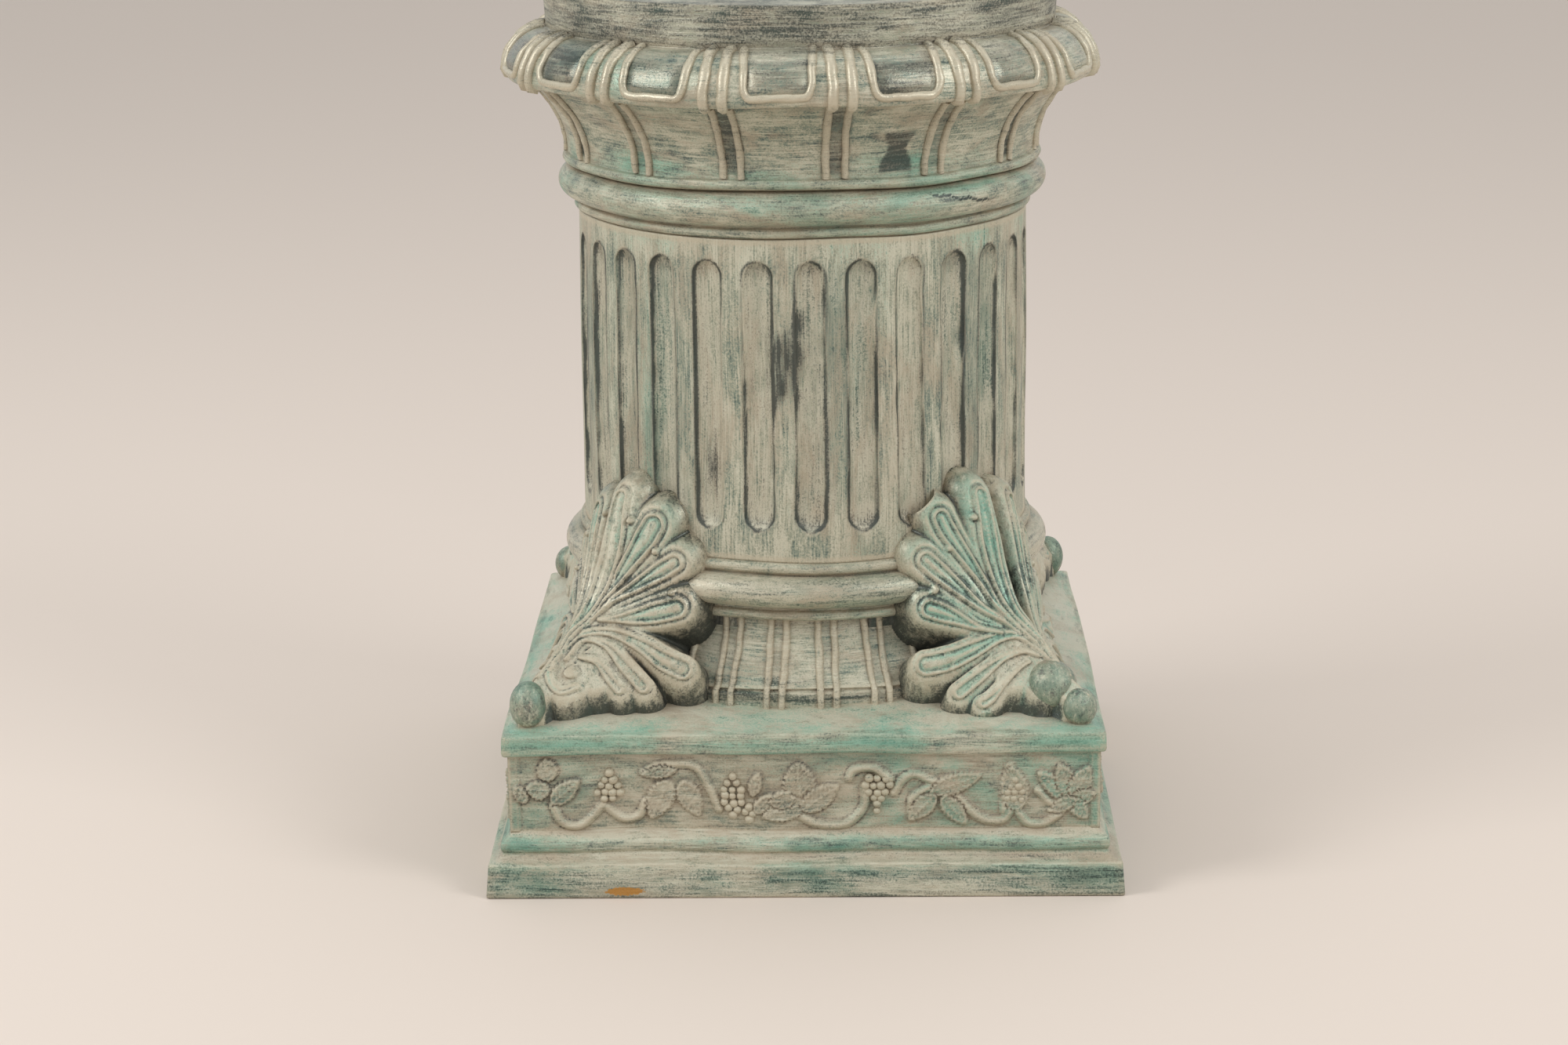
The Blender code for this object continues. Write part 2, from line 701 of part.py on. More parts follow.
def frieze_vine_set(mesh):
    for start, bend, end in frieze_vines:
        raised_vine(mesh, start, bend, end)


def frieze_motif_set(mesh):
    for place, size, leaf_turn in frieze_leaves:
        raised_leaf(mesh, place, size, leaf_turn)
    for place, size in frieze_berries:
        raised_berries(mesh, place, size)


def fuse(whole, helper):
    """Makes the helper part of the whole casting and leaves it as a hidden guide."""
    union = whole.modifiers.new("with_" + helper.name, "BOOLEAN")
    union.operation = "UNION"
    union.solver = "MANIFOLD"
    union.object = helper
    helper.hide_render = True
    helper.display_type = "WIRE"


def build():
    clear_scene()
    bronze = patina_material()
    casting = add_object("pedestal_column", column_mesh(), bronze)
    fuse(casting, add_object("guide_plinth", plinth_mesh(), bronze))
    for name, builder, first_turn in (
        ("guide_backs", leaf_back, 45),
        ("guide_fans", leaf_fan, 45),
        ("guide_scrolls", leaf_scrolls, 45),
        ("guide_toes", leaf_toe, 45),
        ("guide_vines", frieze_vine_set, 0),
        ("guide_motifs", frieze_motif_set, 0),
    ):
        fuse(casting, add_object(name, four_times(builder, first_turn), bronze))
    return casting


build()
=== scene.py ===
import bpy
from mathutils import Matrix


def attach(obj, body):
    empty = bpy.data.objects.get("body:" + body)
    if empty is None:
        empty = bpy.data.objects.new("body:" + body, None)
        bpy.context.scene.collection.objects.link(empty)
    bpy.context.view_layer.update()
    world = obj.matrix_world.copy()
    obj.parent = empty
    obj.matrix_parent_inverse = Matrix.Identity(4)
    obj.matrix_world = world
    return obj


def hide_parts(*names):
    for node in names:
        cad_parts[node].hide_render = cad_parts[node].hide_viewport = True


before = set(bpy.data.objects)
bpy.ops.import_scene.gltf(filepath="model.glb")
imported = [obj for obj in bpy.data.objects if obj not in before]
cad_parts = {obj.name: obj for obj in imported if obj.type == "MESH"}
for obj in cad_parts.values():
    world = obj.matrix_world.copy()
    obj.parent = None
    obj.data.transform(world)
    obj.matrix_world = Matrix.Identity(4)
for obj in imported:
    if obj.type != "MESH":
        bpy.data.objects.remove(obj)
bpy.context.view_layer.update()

import math

import bpy
import numpy as np
from mathutils import Matrix, Vector

# Cast bronze pedestal with a painted verdigris finish. Metres, +Z up, -Y is the photographed front.
# Azimuths run in degrees from the front towards +X.

print("stage: frame loaded")

# heights and radii shared by every piece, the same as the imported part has
body = {
    "floor": 0.0, "baseHalf": 0.215, "baseTop": 0.0236, "beadFloor": 0.0290, "beadTop": 0.0385,
    "beadHalf": 0.204, "friezeFloor": 0.0434, "friezeHalf": 0.1975, "slabFloor": 0.0968, "slabHalf": 0.2027,
    "slabEdge": 0.1117, "rimFloor": 0.1203, "rimRadius": 0.1733, "skirtFloor": 0.1314, "skirtTop": 0.1766,
    "skirtHead": 0.1490, "torusFloor": 0.1868, "torusTop": 0.2087, "shaftFloor": 0.2163, "shaftTop": 0.4384,
    "shaftRadius": 0.1567, "upperTorusFloor": 0.4460, "upperTorusTop": 0.4700, "bellFloor": 0.4780,
    "lip": 0.5294, "lipRadius": 0.2025, "drumFloor": 0.5642, "drumRadius": 0.1766, "top": 0.5927,
}


def blend(first, last, share):
    return first + (last - first) * share


def smooth(low, high, value):
    share = np.clip((value - low) / (high - low), 0.0, 1.0)
    return share * share * (3 - 2 * share)


def band(value, rise, full, fall, end):
    return smooth(rise, full, value) * smooth(end, fall, value)


def wrapped(azimuth, turn, pitch):
    # degrees from the middle of the nearest repeat
    return (azimuth - turn + pitch / 2) % pitch - pitch / 2


def ringPoint(azimuth, radius, height):
    turn = np.radians(azimuth)
    return np.stack([radius * np.sin(turn), -radius * np.cos(turn), height + 0 * turn], axis=-1)


def outline(rows):
    # a row is a radius and a height of the body, each with the millimetres added to it; a longer row is a
    # half round, and goes on with the height where it ends, how many millimetres it stands out, and its steps
    made = []
    for out, more, level, up, *arc in rows:
        inner, floor = body[out] + more / 1000, body[level] + up / 1000
        if not arc:
            made.append((inner, floor))
            continue
        endLevel, endUp, proud, steps = arc
        for turn in (math.pi * step / steps for step in range(1, steps)):
            made.append((inner + proud / 1000 * math.sin(turn),
                         blend(floor, body[endLevel] + endUp / 1000, (1 - math.cos(turn)) / 2)))
    return made


# ---- nodes and colours

def linear(hexColour):
    parts = [int(hexColour[i:i + 2], 16) / 255 for i in (1, 3, 5)]
    return [c / 12.92 if c <= 0.04045 else ((c + 0.055) / 1.055) ** 2.4 for c in parts] + [1.0]


def addNode(tree, kind, settings=None, links=None):
    node = tree.nodes.new(kind)
    for name, value in (settings or {}).items():
        setattr(node, name, value)
    for name, value in (links or {}).items():
        socket = node.inputs[name] if isinstance(name, int) else next(
            s for s in node.inputs if s.name == name and s.enabled)
        if isinstance(value, bpy.types.Node):
            value = next(s for s in value.outputs if s.enabled)
        if isinstance(value, bpy.types.NodeSocket):
            tree.links.new(value, socket)
        else:
            socket.default_value = value
    return node


def addFormula(tree, given, made, lines):
    # maths in order: a name, its operation, and inputs that are numbers, earlier names or the tree's inputs
    for name, operation, *inputs in lines:
        found = [made[v] if v in made else given[v] if isinstance(v, str) else v for v in inputs]
        made[name] = addNode(tree, "ShaderNodeMath", {"operation": operation}, dict(enumerate(found)))
    return made


patina = {
    "shade": "#525f59", "sage": "#7c897b", "chalk": "#a0a28e", "cream": "#c6c4b0",   # paint, dark to light
    "turquoise": "#3f8372", "turquoiseLight": "#80b5a0",   # verdigris that pools in the hollows
    "tan": "#94836f", "beige": "#ab9c86", "sand": "#beb49d",   # dust in corners, washed patches, rubbed ribs
    "bronze": "#333b3a",   # bare bronze where the paint is rubbed through, and the dark of the painted shade on the leaves' rolled-over walls
    "chip": "#b98a4c",   # bright brass under one chip in the base block
    "stops": [("shade", 0.0), ("cream", 1.0), ("sage", 0.30), ("chalk", 0.62)],
    # how each piece was brushed: stroke scale along x, y and z, and how its patches are drawn out
    "round": ((26.0, 26.0, 480.0), (0.6, 0.6, 1.3)),   # level strokes 38 by 2 mm
    "upright": ((600.0, 600.0, 12.0), (1.1, 1.1, 0.30)),   # strokes 80 by 1.7 mm up the shaft
    "dabbed": ((190.0, 190.0, 110.0), (1.0, 1.0, 0.8)),   # dabs 5 by 9 mm on the leaves
    "strokeBend": 0.006, "finerBy": 1.9, "finerAt": (3.0, 5.0, 7.0), "crevice": 0.012, "bump": 0.0010,
    "chipAt": (-0.1215, -0.2148, 0.0052), "chipSize": (0.0132, 0.0040, 0.0030),
    # noise: what it is laid along, scale, detail, roughness and distortion; patches of 75, 30 and 12 mm,
    # specks of 1.3 mm
    "noises": {
        "stroke": ("strokes", 1.0, 6.0, 0.66, 0.5), "bristle": ("finer", 1.0, 5.0, 0.7, 0.4),
        "patch": ("drawn", 13.0, 7.0, 0.66, 0.5), "blotch": ("drawn", 34.0, 6.0, 0.66, 0.8),
        "cloud": ("drawn", 85.0, 6.0, 0.66, 0.3), "speck": ("where", 750.0, 3.0, 0.66, 0.0),
    },
    # what a mask starts from, what is added with which weight, what that is multiplied by, and how it is
    # stretched: from low, from high, to low, to high
    "masks": [
        # the paint's lightness; the pale mark in it also carries a painted highlight at the flutes' lower
        # ends and painted shade on the leaves' rolled-over walls
        ("tone", 0.0, {"cloud": 0.9, "stroke": 0.7, "bristle": 0.5, "speck": 0.65, "pale": 0.22}, None,
         (1.19, 1.56, 0.0, 1.0)),
        ("washed", "blotch", {"speck": 0.3}, None, (0.62, 0.78, 0.0, 0.60)),
        ("greened", "patch", {"green": 0.34, "speck": 0.45, "stroke": 0.40, "cloud": 0.30}, None,
         (1.22, 1.42, 0.0, 0.80)),
        ("closed", "crevice", {}, None, (0.80, 0.30, 0.0, 1.0)),
        ("broken", "cloud", {}, None, (0.3, 0.6, 0.25, 1.0)),
        ("dusted", "closed", {"dirt": 1.0}, "broken", (0.12, 0.95, 0.0, 0.85)),
        ("grained", "speck", {}, None, (0.30, 0.58, 0.25, 1.0)),
        ("rubbed", "grained", {}, "ridge", (0.05, 0.60, 0.0, 0.75)),
        ("streaked", "bristle", {"patch": -0.7}, None, (0.19, 0.36, 0.0, 0.70)),
        # dark bronze where the paint is rubbed through, in grooves, and as painted shade on the leaves'
        # rolled-over walls
        ("baredAndShaded", "stainAndShade", {"stroke": 0.9, "patch": 0.8, "cloud": 0.30, "speck": 0.7, "hollow": 0.42}, None,
         (1.48, 1.80, 0.0, 0.88)),
        ("chipped", "chipFar", {"speck": 1.2}, None, (1.62, 1.50, 0.0, 1.0)),
        ("gloss", "cloud", {}, None, (0.3, 0.7, 0.38, 0.62)),
        ("roughness", "gloss", {"baredAndShaded": -0.10, "wax": -0.19}, None, None),
        ("metallic", 0.25, {"baredAndShaded": 0.35, "chipped": 0.40}, None, None),
        ("grit", "stroke", {"speck": 0.7, "cloud": 1.8}, None, None),
        ("grain", 0.60, {"wax": -0.34}, None, None),
    ],
}


def verdigris(name, brushed):
    # Bronze cast in sand, patinated, dry-brushed and waxed: chalky and matt with a soft waxed shine.
    material = bpy.data.materials.new(name)
    material.use_nodes = True
    tree = material.node_tree
    shader = tree.nodes["Principled BSDF"]
    where = addNode(tree, "ShaderNodeTexCoord").outputs["Object"]
    stretch, drawnOut = patina[brushed]
    bent = addNode(tree, "ShaderNodeTexNoise", {}, {"Vector": where, "Scale": 9.0, "Detail": 1.0})
    bent = addNode(tree, "ShaderNodeVectorMath", {"operation": "MULTIPLY_ADD"},
                   {0: bent.outputs["Color"], 1: (patina["strokeBend"],) * 3, 2: where})
    laid = {"where": where}
    for key, along, scale, start in (
            ("strokes", bent, stretch, (0.0, 0.0, 0.0)), ("drawn", where, drawnOut, (0.0, 0.0, 0.0)),
            ("finer", bent, tuple(patina["finerBy"] * s for s in stretch), patina["finerAt"])):
        laid[key] = addNode(tree, "ShaderNodeMapping", {},
                            {"Vector": along, "Scale": scale, "Location": start})
    field = {key: addNode(tree, "ShaderNodeAttribute", {"attribute_name": key}).outputs["Fac"]
             for key in ("hollow", "ridge", "green", "stainAndShade", "dirt", "pale", "wax")}
    for key, (along, scale, detail, roughness, bend) in patina["noises"].items():
        field[key] = addNode(tree, "ShaderNodeTexNoise", {}, {
            "Vector": laid[along], "Scale": scale, "Detail": detail,
            "Roughness": roughness, "Distortion": bend})
    shade = addNode(tree, "ShaderNodeAmbientOcclusion", {"samples": 6}, {"Distance": patina["crevice"]})
    field["crevice"] = shade.outputs["AO"]
    chipSpot = addNode(tree, "ShaderNodeVectorMath", {"operation": "SUBTRACT"},
                       {0: where, 1: patina["chipAt"]})
    chipSpot = addNode(tree, "ShaderNodeVectorMath", {"operation": "DIVIDE"},
                       {0: chipSpot, 1: patina["chipSize"]})
    chipFar = addNode(tree, "ShaderNodeVectorMath", {"operation": "LENGTH"}, {0: chipSpot})
    field["chipFar"] = chipFar.outputs["Value"]

    for key, start, weights, times, stretched in patina["masks"]:
        total = field.get(start, start)
        for source, weight in weights.items():
            total = addNode(tree, "ShaderNodeMath", {"operation": "MULTIPLY_ADD"},
                            {0: field[source], 1: weight, 2: total})
        if times:
            total = addNode(tree, "ShaderNodeMath", {"operation": "MULTIPLY"}, {0: total, 1: field[times]})
        if stretched:
            low, high, least, most = stretched
            total = addNode(tree, "ShaderNodeMapRange", {}, {
                "Value": total, "From Min": low, "From Max": high, "To Min": least, "To Max": most})
        field[key] = total

    paint = addNode(tree, "ShaderNodeValToRGB", {}, {"Fac": field["tone"]})
    stops = paint.color_ramp.elements
    for number, (colour, position) in enumerate(patina["stops"]):
        stop = stops[number] if number < 2 else stops.new(position)
        stop.position, stop.color = position, linear(patina[colour])
    # layers from the paint up: warm washes, turquoise, tan dust in corners, sand on what stands proud,
    # pale bristle streaks, bare dark bronze in grooves and stains and as painted shade under the leaves, and
    # the one bright chip
    base = paint.outputs["Color"]
    for mask, low, high in (
            ("washed", "beige", "beige"), ("greened", "turquoise", "turquoiseLight"),
            ("dusted", "tan", "beige"),
            ("rubbed", "sand", "sand"), ("streaked", "cream", "cream"), ("baredAndShaded", "bronze", "bronze"),
            ("chipped", "chip", "chip")):
        colour = linear(patina[low])
        if low != high:
            colour = addNode(tree, "ShaderNodeMix", {"data_type": "RGBA"},
                             {"Factor": field["tone"], "A": colour, "B": linear(patina[high])}).outputs[2]
        base = addNode(tree, "ShaderNodeMix", {"data_type": "RGBA"},
                       {"Factor": field[mask], "A": base, "B": colour}).outputs[2]
    bump = addNode(tree, "ShaderNodeBump", {}, {
        "Height": field["grit"], "Strength": field["grain"], "Distance": patina["bump"]})
    for socket, source in (("Base Color", base), ("Roughness", field["roughness"].outputs[0]),
                           ("Metallic", field["metallic"].outputs[0]), ("Normal", bump.outputs[0])):
        tree.links.new(source, shader.inputs[socket])
    return material


roundBronze = verdigris("verdigris_bronze_brushed_round", "round")
uprightBronze = verdigris("verdigris_bronze_brushed_upright", "upright")
dabbedBronze = verdigris("verdigris_bronze_dabbed", "dabbed")

# ---- turning arrays and trees into pieces


def meshPiece(name, points, faces, material):
    mesh = bpy.data.meshes.new(name)
    mesh.from_pydata(points, [], faces)
    mesh.materials.append(material)
    made = bpy.data.objects.new(name, mesh)
    bpy.context.scene.collection.objects.link(made)
    return made


def gridFaces(rows, columns, around):
    step = np.arange(columns if around else columns - 1)
    level = np.arange(rows - 1)[:, None] * columns
    here, there = level + step, level + (step + 1) % columns
    return np.stack([here, there, there + columns, here + columns], axis=-1).reshape(-1, 4).tolist()


def gridBorder(rows, columns):
    # the places on the grid's border, once round
    return ([(0, c) for c in range(columns)] + [(r, columns - 1) for r in range(1, rows)]
            + [(rows - 1, c) for c in range(columns - 2, -1, -1)] + [(r, 0) for r in range(rows - 2, 0, -1)])


def closedRings(name, points):
    # rings from the bottom up, with one face below and one above
    rows, columns, _ = points.shape
    faces = gridFaces(rows, columns, True)
    faces.append(list(range(columns))[::-1])
    faces.append([(rows - 1) * columns + i for i in range(columns)])
    return meshPiece(name, points.reshape(-1, 3).tolist(), faces, roundBronze)


def startTree(name, sizes):
    tree = bpy.data.node_groups.new(name, "GeometryNodeTree")
    for label, kind in sizes.items():
        tree.interface.new_socket(name=label, in_out="INPUT", socket_type="NodeSocket" + kind)
    tree.interface.new_socket(name="Geometry", in_out="OUTPUT", socket_type="NodeSocketGeometry")
    return tree, tree.nodes.new("NodeGroupInput").outputs


def endTree(tree, shape, material):
    realized = addNode(tree, "GeometryNodeRealizeInstances", {}, {"Geometry": shape})
    painted = addNode(tree, "GeometryNodeSetMaterial", {}, {"Geometry": realized, "Material": material})
    addNode(tree, "NodeGroupOutput", {}, {"Geometry": painted})


def bakeTree(name, tree, values, seed=None):
    holder = bpy.data.objects.new(name + "_holder", seed or bpy.data.meshes.new(name + "_seed"))
    bpy.context.scene.collection.objects.link(holder)
    modifier = holder.modifiers.new(tree.name, "NODES")
    modifier.node_group = tree
    for item in tree.interface.items_tree:
        if item.in_out == "INPUT" and item.name in values:
            modifier[item.identifier] = values[item.name]
    graph = bpy.context.evaluated_depsgraph_get()
    baked = bpy.data.meshes.new_from_object(holder.evaluated_get(graph))
    holder.modifiers.remove(modifier)
    bpy.data.objects.remove(holder, do_unlink=True)
    baked.name = name
    made = bpy.data.objects.new(name, baked)
    bpy.context.scene.collection.objects.link(made)
    return made


# ---- square plinth

plinth = {
    "cornerRound": 0.0022, "along": 80, "cornerSteps": 5, "edgeRound": 0.0016, "arcSteps": 3,
    "crownShare": 0.60,
    "profile": [
        ("baseHalf", -107.5, "floor", 0), ("baseHalf", 0, "floor", 0), ("baseHalf", -1.3, "baseTop", 0),
        ("baseHalf", -6.0, "baseTop", 0.8), ("beadHalf", 1.6, "baseTop", 3.0),
        ("beadHalf", -0.2, "beadFloor", -0.4),
        ("beadHalf", 1.4, "beadFloor", 2.2), ("beadHalf", 1.4, "beadTop", -2.6),
        ("beadHalf", -0.8, "beadTop", -0.4),
        ("friezeHalf", 2.0, "beadTop", 2.2), ("friezeHalf", 0.4, "friezeFloor", 0),
        ("friezeHalf", -2.0, "friezeFloor", 0.2), ("friezeHalf", -2.0, "slabFloor", -0.2),
        ("friezeHalf", 0.4, "slabFloor", 0), ("slabHalf", -0.6, "slabFloor", 0.4),
        ("slabHalf", 0, "slabFloor", 3.0),
        ("slabHalf", -0.4, "slabEdge", -0.8),
    ],
}
# an outline's corner stays as it is when it is nearly straight; its arc takes part of both runs at most
rounding = {"straight": -0.93, "share": 0.45, "rowGap": 0.004}


def roundedProfile(points, radius, steps):
    # each inner corner of the profile becomes a small arc, and long runs get extra rows
    made = [np.array(points[0])]
    for before, corner, after in zip(points, points[1:], points[2:]):
        before, corner, after = map(np.array, (before, corner, after))
        back, ahead = before - corner, after - corner
        backLong, aheadLong = np.hypot(*back), np.hypot(*ahead)
        if np.dot(back, ahead) < rounding["straight"] * backLong * aheadLong:
            made.append(corner)
            continue
        reach = min(radius, backLong * rounding["share"], aheadLong * rounding["share"])
        start, end = corner + back / backLong * reach, corner + ahead / aheadLong * reach
        for share in (step / steps for step in range(steps + 1)):
            made.append((1 - share) ** 2 * start + 2 * share * (1 - share) * corner + share ** 2 * end)
    made.append(np.array(points[-1]))
    dense = [made[0]]
    for first, last in zip(made, made[1:]):
        count = max(1, int(np.hypot(*(last - first)) / rounding["rowGap"]))
        dense += [first + (last - first) * (step + 1) / count for step in range(count)]
    return np.array(dense)


def squareRow(half, height):
    around = plinth["cornerRound"]
    span = half - around
    flat = [(x, -half) for x in np.linspace(-span, span, plinth["along"])]
    corner = [(span + around * math.sin(a), -span - around * math.cos(a))
              for a in np.linspace(0, math.pi / 2, plinth["cornerSteps"] + 1)[1:-1]]
    points = []
    for turn in (math.radians(90 * side) for side in range(4)):
        for x, y in flat + corner:
            points.append((x * math.cos(turn) - y * math.sin(turn),
                           x * math.sin(turn) + y * math.cos(turn), height))
    return points


def buildPlinth():
    # the slab's sloped top runs on inwards under the round base
    crownHalf = body["rimRadius"] * plinth["crownShare"]
    slope = (body["rimFloor"] - body["slabEdge"]) / (body["slabHalf"] - body["rimRadius"])
    crown = (crownHalf, body["slabEdge"] + slope * (body["slabHalf"] - crownHalf))
    rows = roundedProfile(outline(plinth["profile"]) + [crown], plinth["edgeRound"], plinth["arcSteps"])
    return closedRings("plinthBlock", np.array([squareRow(half, height) for half, height in rows]))


# ---- vine frieze: one relief, repeated on the four sides. Millimetres from the panel's middle and floor.

frieze = {
    "step": 1.15, "height": 55.0, "margin": 1.0, "relief": 4.2, "stemRadius": 3.3, "depth": 4.0,
    "rough": 0.42,
    "stile": 6.0, "stileEdge": 198.5, "stileProud": 1.2, "leafGrow": 1.18, "veinGap": 3.6, "vein": 0.80,
    "berryRadius": 0.0030, "berryGap": 1.75, "berryRow": 0.86, "berryJitter": 0.45, "berryProud": 0.0012,
    "stems": [
        [(-168.6, 17.5), (-163, 6), (-150, 3.5), (-135.3, 17.3)],
        [(-132.7, 15.6), (-122, 7.2), (-112, 9.0), (-106.8, 19.1)],
        [(-108, 40), (-98.3, 44.8), (-75.6, 45.2), (-65.3, 31.8), (-57.6, 14.8)],
        [(-5.9, 12.9), (8, 4.0), (28, 3.2), (40, 15), (41.1, 29.2)],
        [(30.6, 35.0), (34, 41), (46.4, 42.3), (57.4, 34.7)],
        [(60.1, 25.2), (66, 35), (74.6, 38.6), (88.4, 31.7)],
        [(96.6, 27.6), (110, 13), (120, 6.0), (132, 5.5), (137.5, 13.2)],
        [(133.0, 12), (134.2, 28), (136.6, 43)],
        [(142.8, 10.4), (150, 3.0), (162, 3.6), (171.7, 12), (163, 18), (155.9, 25.9)],
        [(72.0, 12.0), (72.6, 22.0), (84.0, 30.0)],
    ],
    "leaves": [   # base, tip, half width
        [(-171, 35), (-173.5, 51.5), 6.4], [(-171, 27), (-187, 31), 6.2], [(-170, 19.3), (-150.6, 35.8), 6.2],
        [(-187, 20), (-195, 33), 4.4], [(-86.3, 42), (-111.4, 38.5), 4.6], [(-91.7, 34.2), (-103.8, 6), 8.2],
        [(-83.1, 34), (-71, 8.6), 7.2], [(-34.8, 24), (-30, 41), 4.2], [(-33.8, 12), (-21, 26), 4.6],
        [(-2, 20), (-4, 47), 9.6], [(3, 19), (-29, 9.4), 7.4], [(-6, 22), (-24, 20), 6.0],
        [(-1.6, 13.8), (23.7, 30.2), 7.2], [(83.8, 26.1), (118.4, 38.4), 6.6], [(87.4, 25), (69.6, 5), 6.4],
        [(91.7, 23), (108.5, 2.2), 6.2], [(142, 12), (137, 44), 8.6],
        [(180, 18), (155, 39.5), 6.2], [(180, 20), (170, 45), 6.6], [(179, 20), (191.5, 43), 6.8],
        [(178, 18), (196, 24), 5.4], [(178, 20), (190, 5), 5.6], [(182, 20), (162, 11), 5.0],
    ],
    "berries": [   # middle of the top row, rows from the top down
        [(-131, 40.0), (1, 2, 3, 4, 2)], [(-48, 38.0), (1, 2, 3, 3, 3, 2, 1)],
        [(49, 35.0), (3, 4, 3, 2, 1, 1)],
        [(140, 34.0), (1, 2, 3, 3)], [(-37, 17.0), (1, 2, 1)],
    ],
}


def splinePath(points, count):
    # Catmull-Rom through the points
    points = np.array(points, float)
    padded = np.vstack([2 * points[0] - points[1], points, 2 * points[-1] - points[-2]])
    made = []
    for part in range(len(points) - 1):
        a, b, c, d = padded[part:part + 4]
        for share in np.linspace(0, 1, count, endpoint=False):
            made.append(0.5 * (2 * b + (c - a) * share + (2 * a - 5 * b + 4 * c - d) * share ** 2
                               + (3 * b - a - 3 * c + d) * share ** 3))
    made.append(points[-1])
    return np.array(made)


def friezeRelief(x, z):
    # trowelled ground, then the motifs on it
    coarse = np.sin(x * 0.9 + 1.3 * np.sin(z * 0.7)) * np.sin(z * 1.1 + 0.8 * np.sin(x * 0.31))
    fine = np.sin(x * 2.3 + 2.1 * np.sin(z * 1.7 + x * 0.2)) * np.sin(z * 1.9 + 1.7 * np.sin(x * 0.8))
    lift = frieze["rough"] * (0.5 * coarse + 0.35 * fine)
    relief, stem = frieze["relief"], frieze["stemRadius"]
    for path in frieze["stems"]:
        inside = np.full(x.shape, -9.0)
        for px, pz in splinePath(path, 14):
            inside = np.maximum(inside, stem - np.hypot(x - px, z - pz))
        lift = np.maximum(lift, relief * np.sqrt(np.clip(inside / stem, 0, 1)) * 0.9)
    for base, tip, halfWidth in frieze["leaves"]:
        run = np.subtract(tip, base)
        length = math.hypot(*run)
        run = run / length
        down = ((x - base[0]) * run[0] + (z - base[1]) * run[1]) / length
        aside = (x - base[0]) * -run[1] + (z - base[1]) * run[0]
        share = np.clip(down, 0, 1)
        edge = halfWidth * frieze["leafGrow"] * np.sin(math.pi * share ** 0.8) ** 0.65
        edge = edge * (1 + 0.08 * np.sin(share * length * 1.9))
        inside = np.where((down > 0) & (down < 1), edge - np.abs(aside), -9.0)
        plate = relief * (0.92 - 0.34 * smooth(1.2, 3.0, inside)) * smooth(-0.2, 1.9, inside)
        sideVein = np.sin((down * length - np.abs(aside) * 0.9) * 2 * math.pi / frieze["veinGap"])
        vein = np.exp(-(aside / 0.6) ** 2) + 0.8 * smooth(0.3, 1.0, sideVein)
        plate = plate + frieze["vein"] * vein * smooth(1.0, 2.6, inside)
        lift = np.where(inside > 0, np.maximum(plate, lift * 0.4), lift)
    edge = frieze["stileEdge"] - frieze["stile"]
    return np.maximum(lift, frieze["stileProud"] * smooth(edge - 1.5, edge, np.abs(x)))


def buildFrieze():
    half = body["friezeHalf"] * 1000 + frieze["stileProud"]
    top = (body["slabFloor"] - body["friezeFloor"]) * 1000 + frieze["margin"]
    x, z = np.meshgrid(np.linspace(-half, half, int(2 * half / frieze["step"])),
                       np.linspace(-frieze["margin"], top, int(frieze["height"] / frieze["step"])))
    rows, columns = x.shape
    out = body["friezeHalf"] * 1000 + friezeRelief(x, z)
    front = np.stack([x / 1000, -out / 1000, z / 1000 + body["friezeFloor"]], -1)
    back = front.copy()
    back[..., 1] = -body["friezeHalf"] + frieze["depth"] / 1000
    back[..., 0] *= 1 - frieze["depth"] / half
    faces = gridFaces(rows, columns, False)
    # the back is one plate on the border of the front
    border = gridBorder(rows, columns)
    frontLoop = [r * columns + c for r, c in border]
    backLoop = list(range(rows * columns, rows * columns + len(border)))
    for i in range(len(border)):
        j = (i + 1) % len(border)
        faces.append([frontLoop[j], frontLoop[i], backLoop[i], backLoop[j]])
    faces.append(backLoop[::-1])
    points = np.vstack([front.reshape(-1, 3), np.array([back[r, c] for r, c in border])])
    sides = []
    for side, name in enumerate(("friezeFront", "friezeRight", "friezeBack", "friezeLeft")):
        turn = np.array(Matrix.Rotation(math.radians(90 * side), 3, "Z"))
        sides.append(meshPiece(name, (points @ turn.T).tolist(), faces, roundBronze))
    return sides


def berryTree():
    tree, given = startTree("grapeBerries", {
        "Seeds": "Geometry", "Berry Radius": "Float", "Seed": "Int", "Material": "Material"})
    berry = addNode(tree, "GeometryNodeMeshIcoSphere", {},
                    {"Radius": given["Berry Radius"], "Subdivisions": 2})
    size = addNode(tree, "FunctionNodeRandomValue", {"data_type": "FLOAT"},
                   {"Min": 0.82, "Max": 1.15, "Seed": given["Seed"]})
    spread = addNode(tree, "GeometryNodeInstanceOnPoints", {}, {
        "Points": given["Seeds"], "Instance": berry, "Scale": size})
    endTree(tree, spread, given["Material"])
    return tree


def buildBerries():
    places = []
    jitter = np.random.default_rng(7)
    gap, loose = frieze["berryRadius"] * 1000 * frieze["berryGap"], frieze["berryJitter"]
    for (x, z), rows in frieze["berries"]:
        for row, count in enumerate(rows):
            for spot in range(count):
                across = x + (spot - (count - 1) / 2) * gap + jitter.normal(0, loose)
                places.append((across, z - row * gap * frieze["berryRow"] + jitter.normal(0, loose)))
    points = []
    y = -(body["friezeHalf"] + frieze["berryProud"])
    for turn in (math.radians(90 * side) for side in range(4)):
        for x, z in places:
            points.append((x / 1000 * math.cos(turn) - y * math.sin(turn),
                           x / 1000 * math.sin(turn) + y * math.cos(turn), body["friezeFloor"] + z / 1000))
    seed = bpy.data.meshes.new("berrySeeds")
    seed.from_pydata(points, [], [])
    return bakeTree("friezeBerries", berryTree(), {
        "Berry Radius": frieze["berryRadius"], "Seed": 4, "Material": roundBronze}, seed)


# ---- round pieces turned on the axis

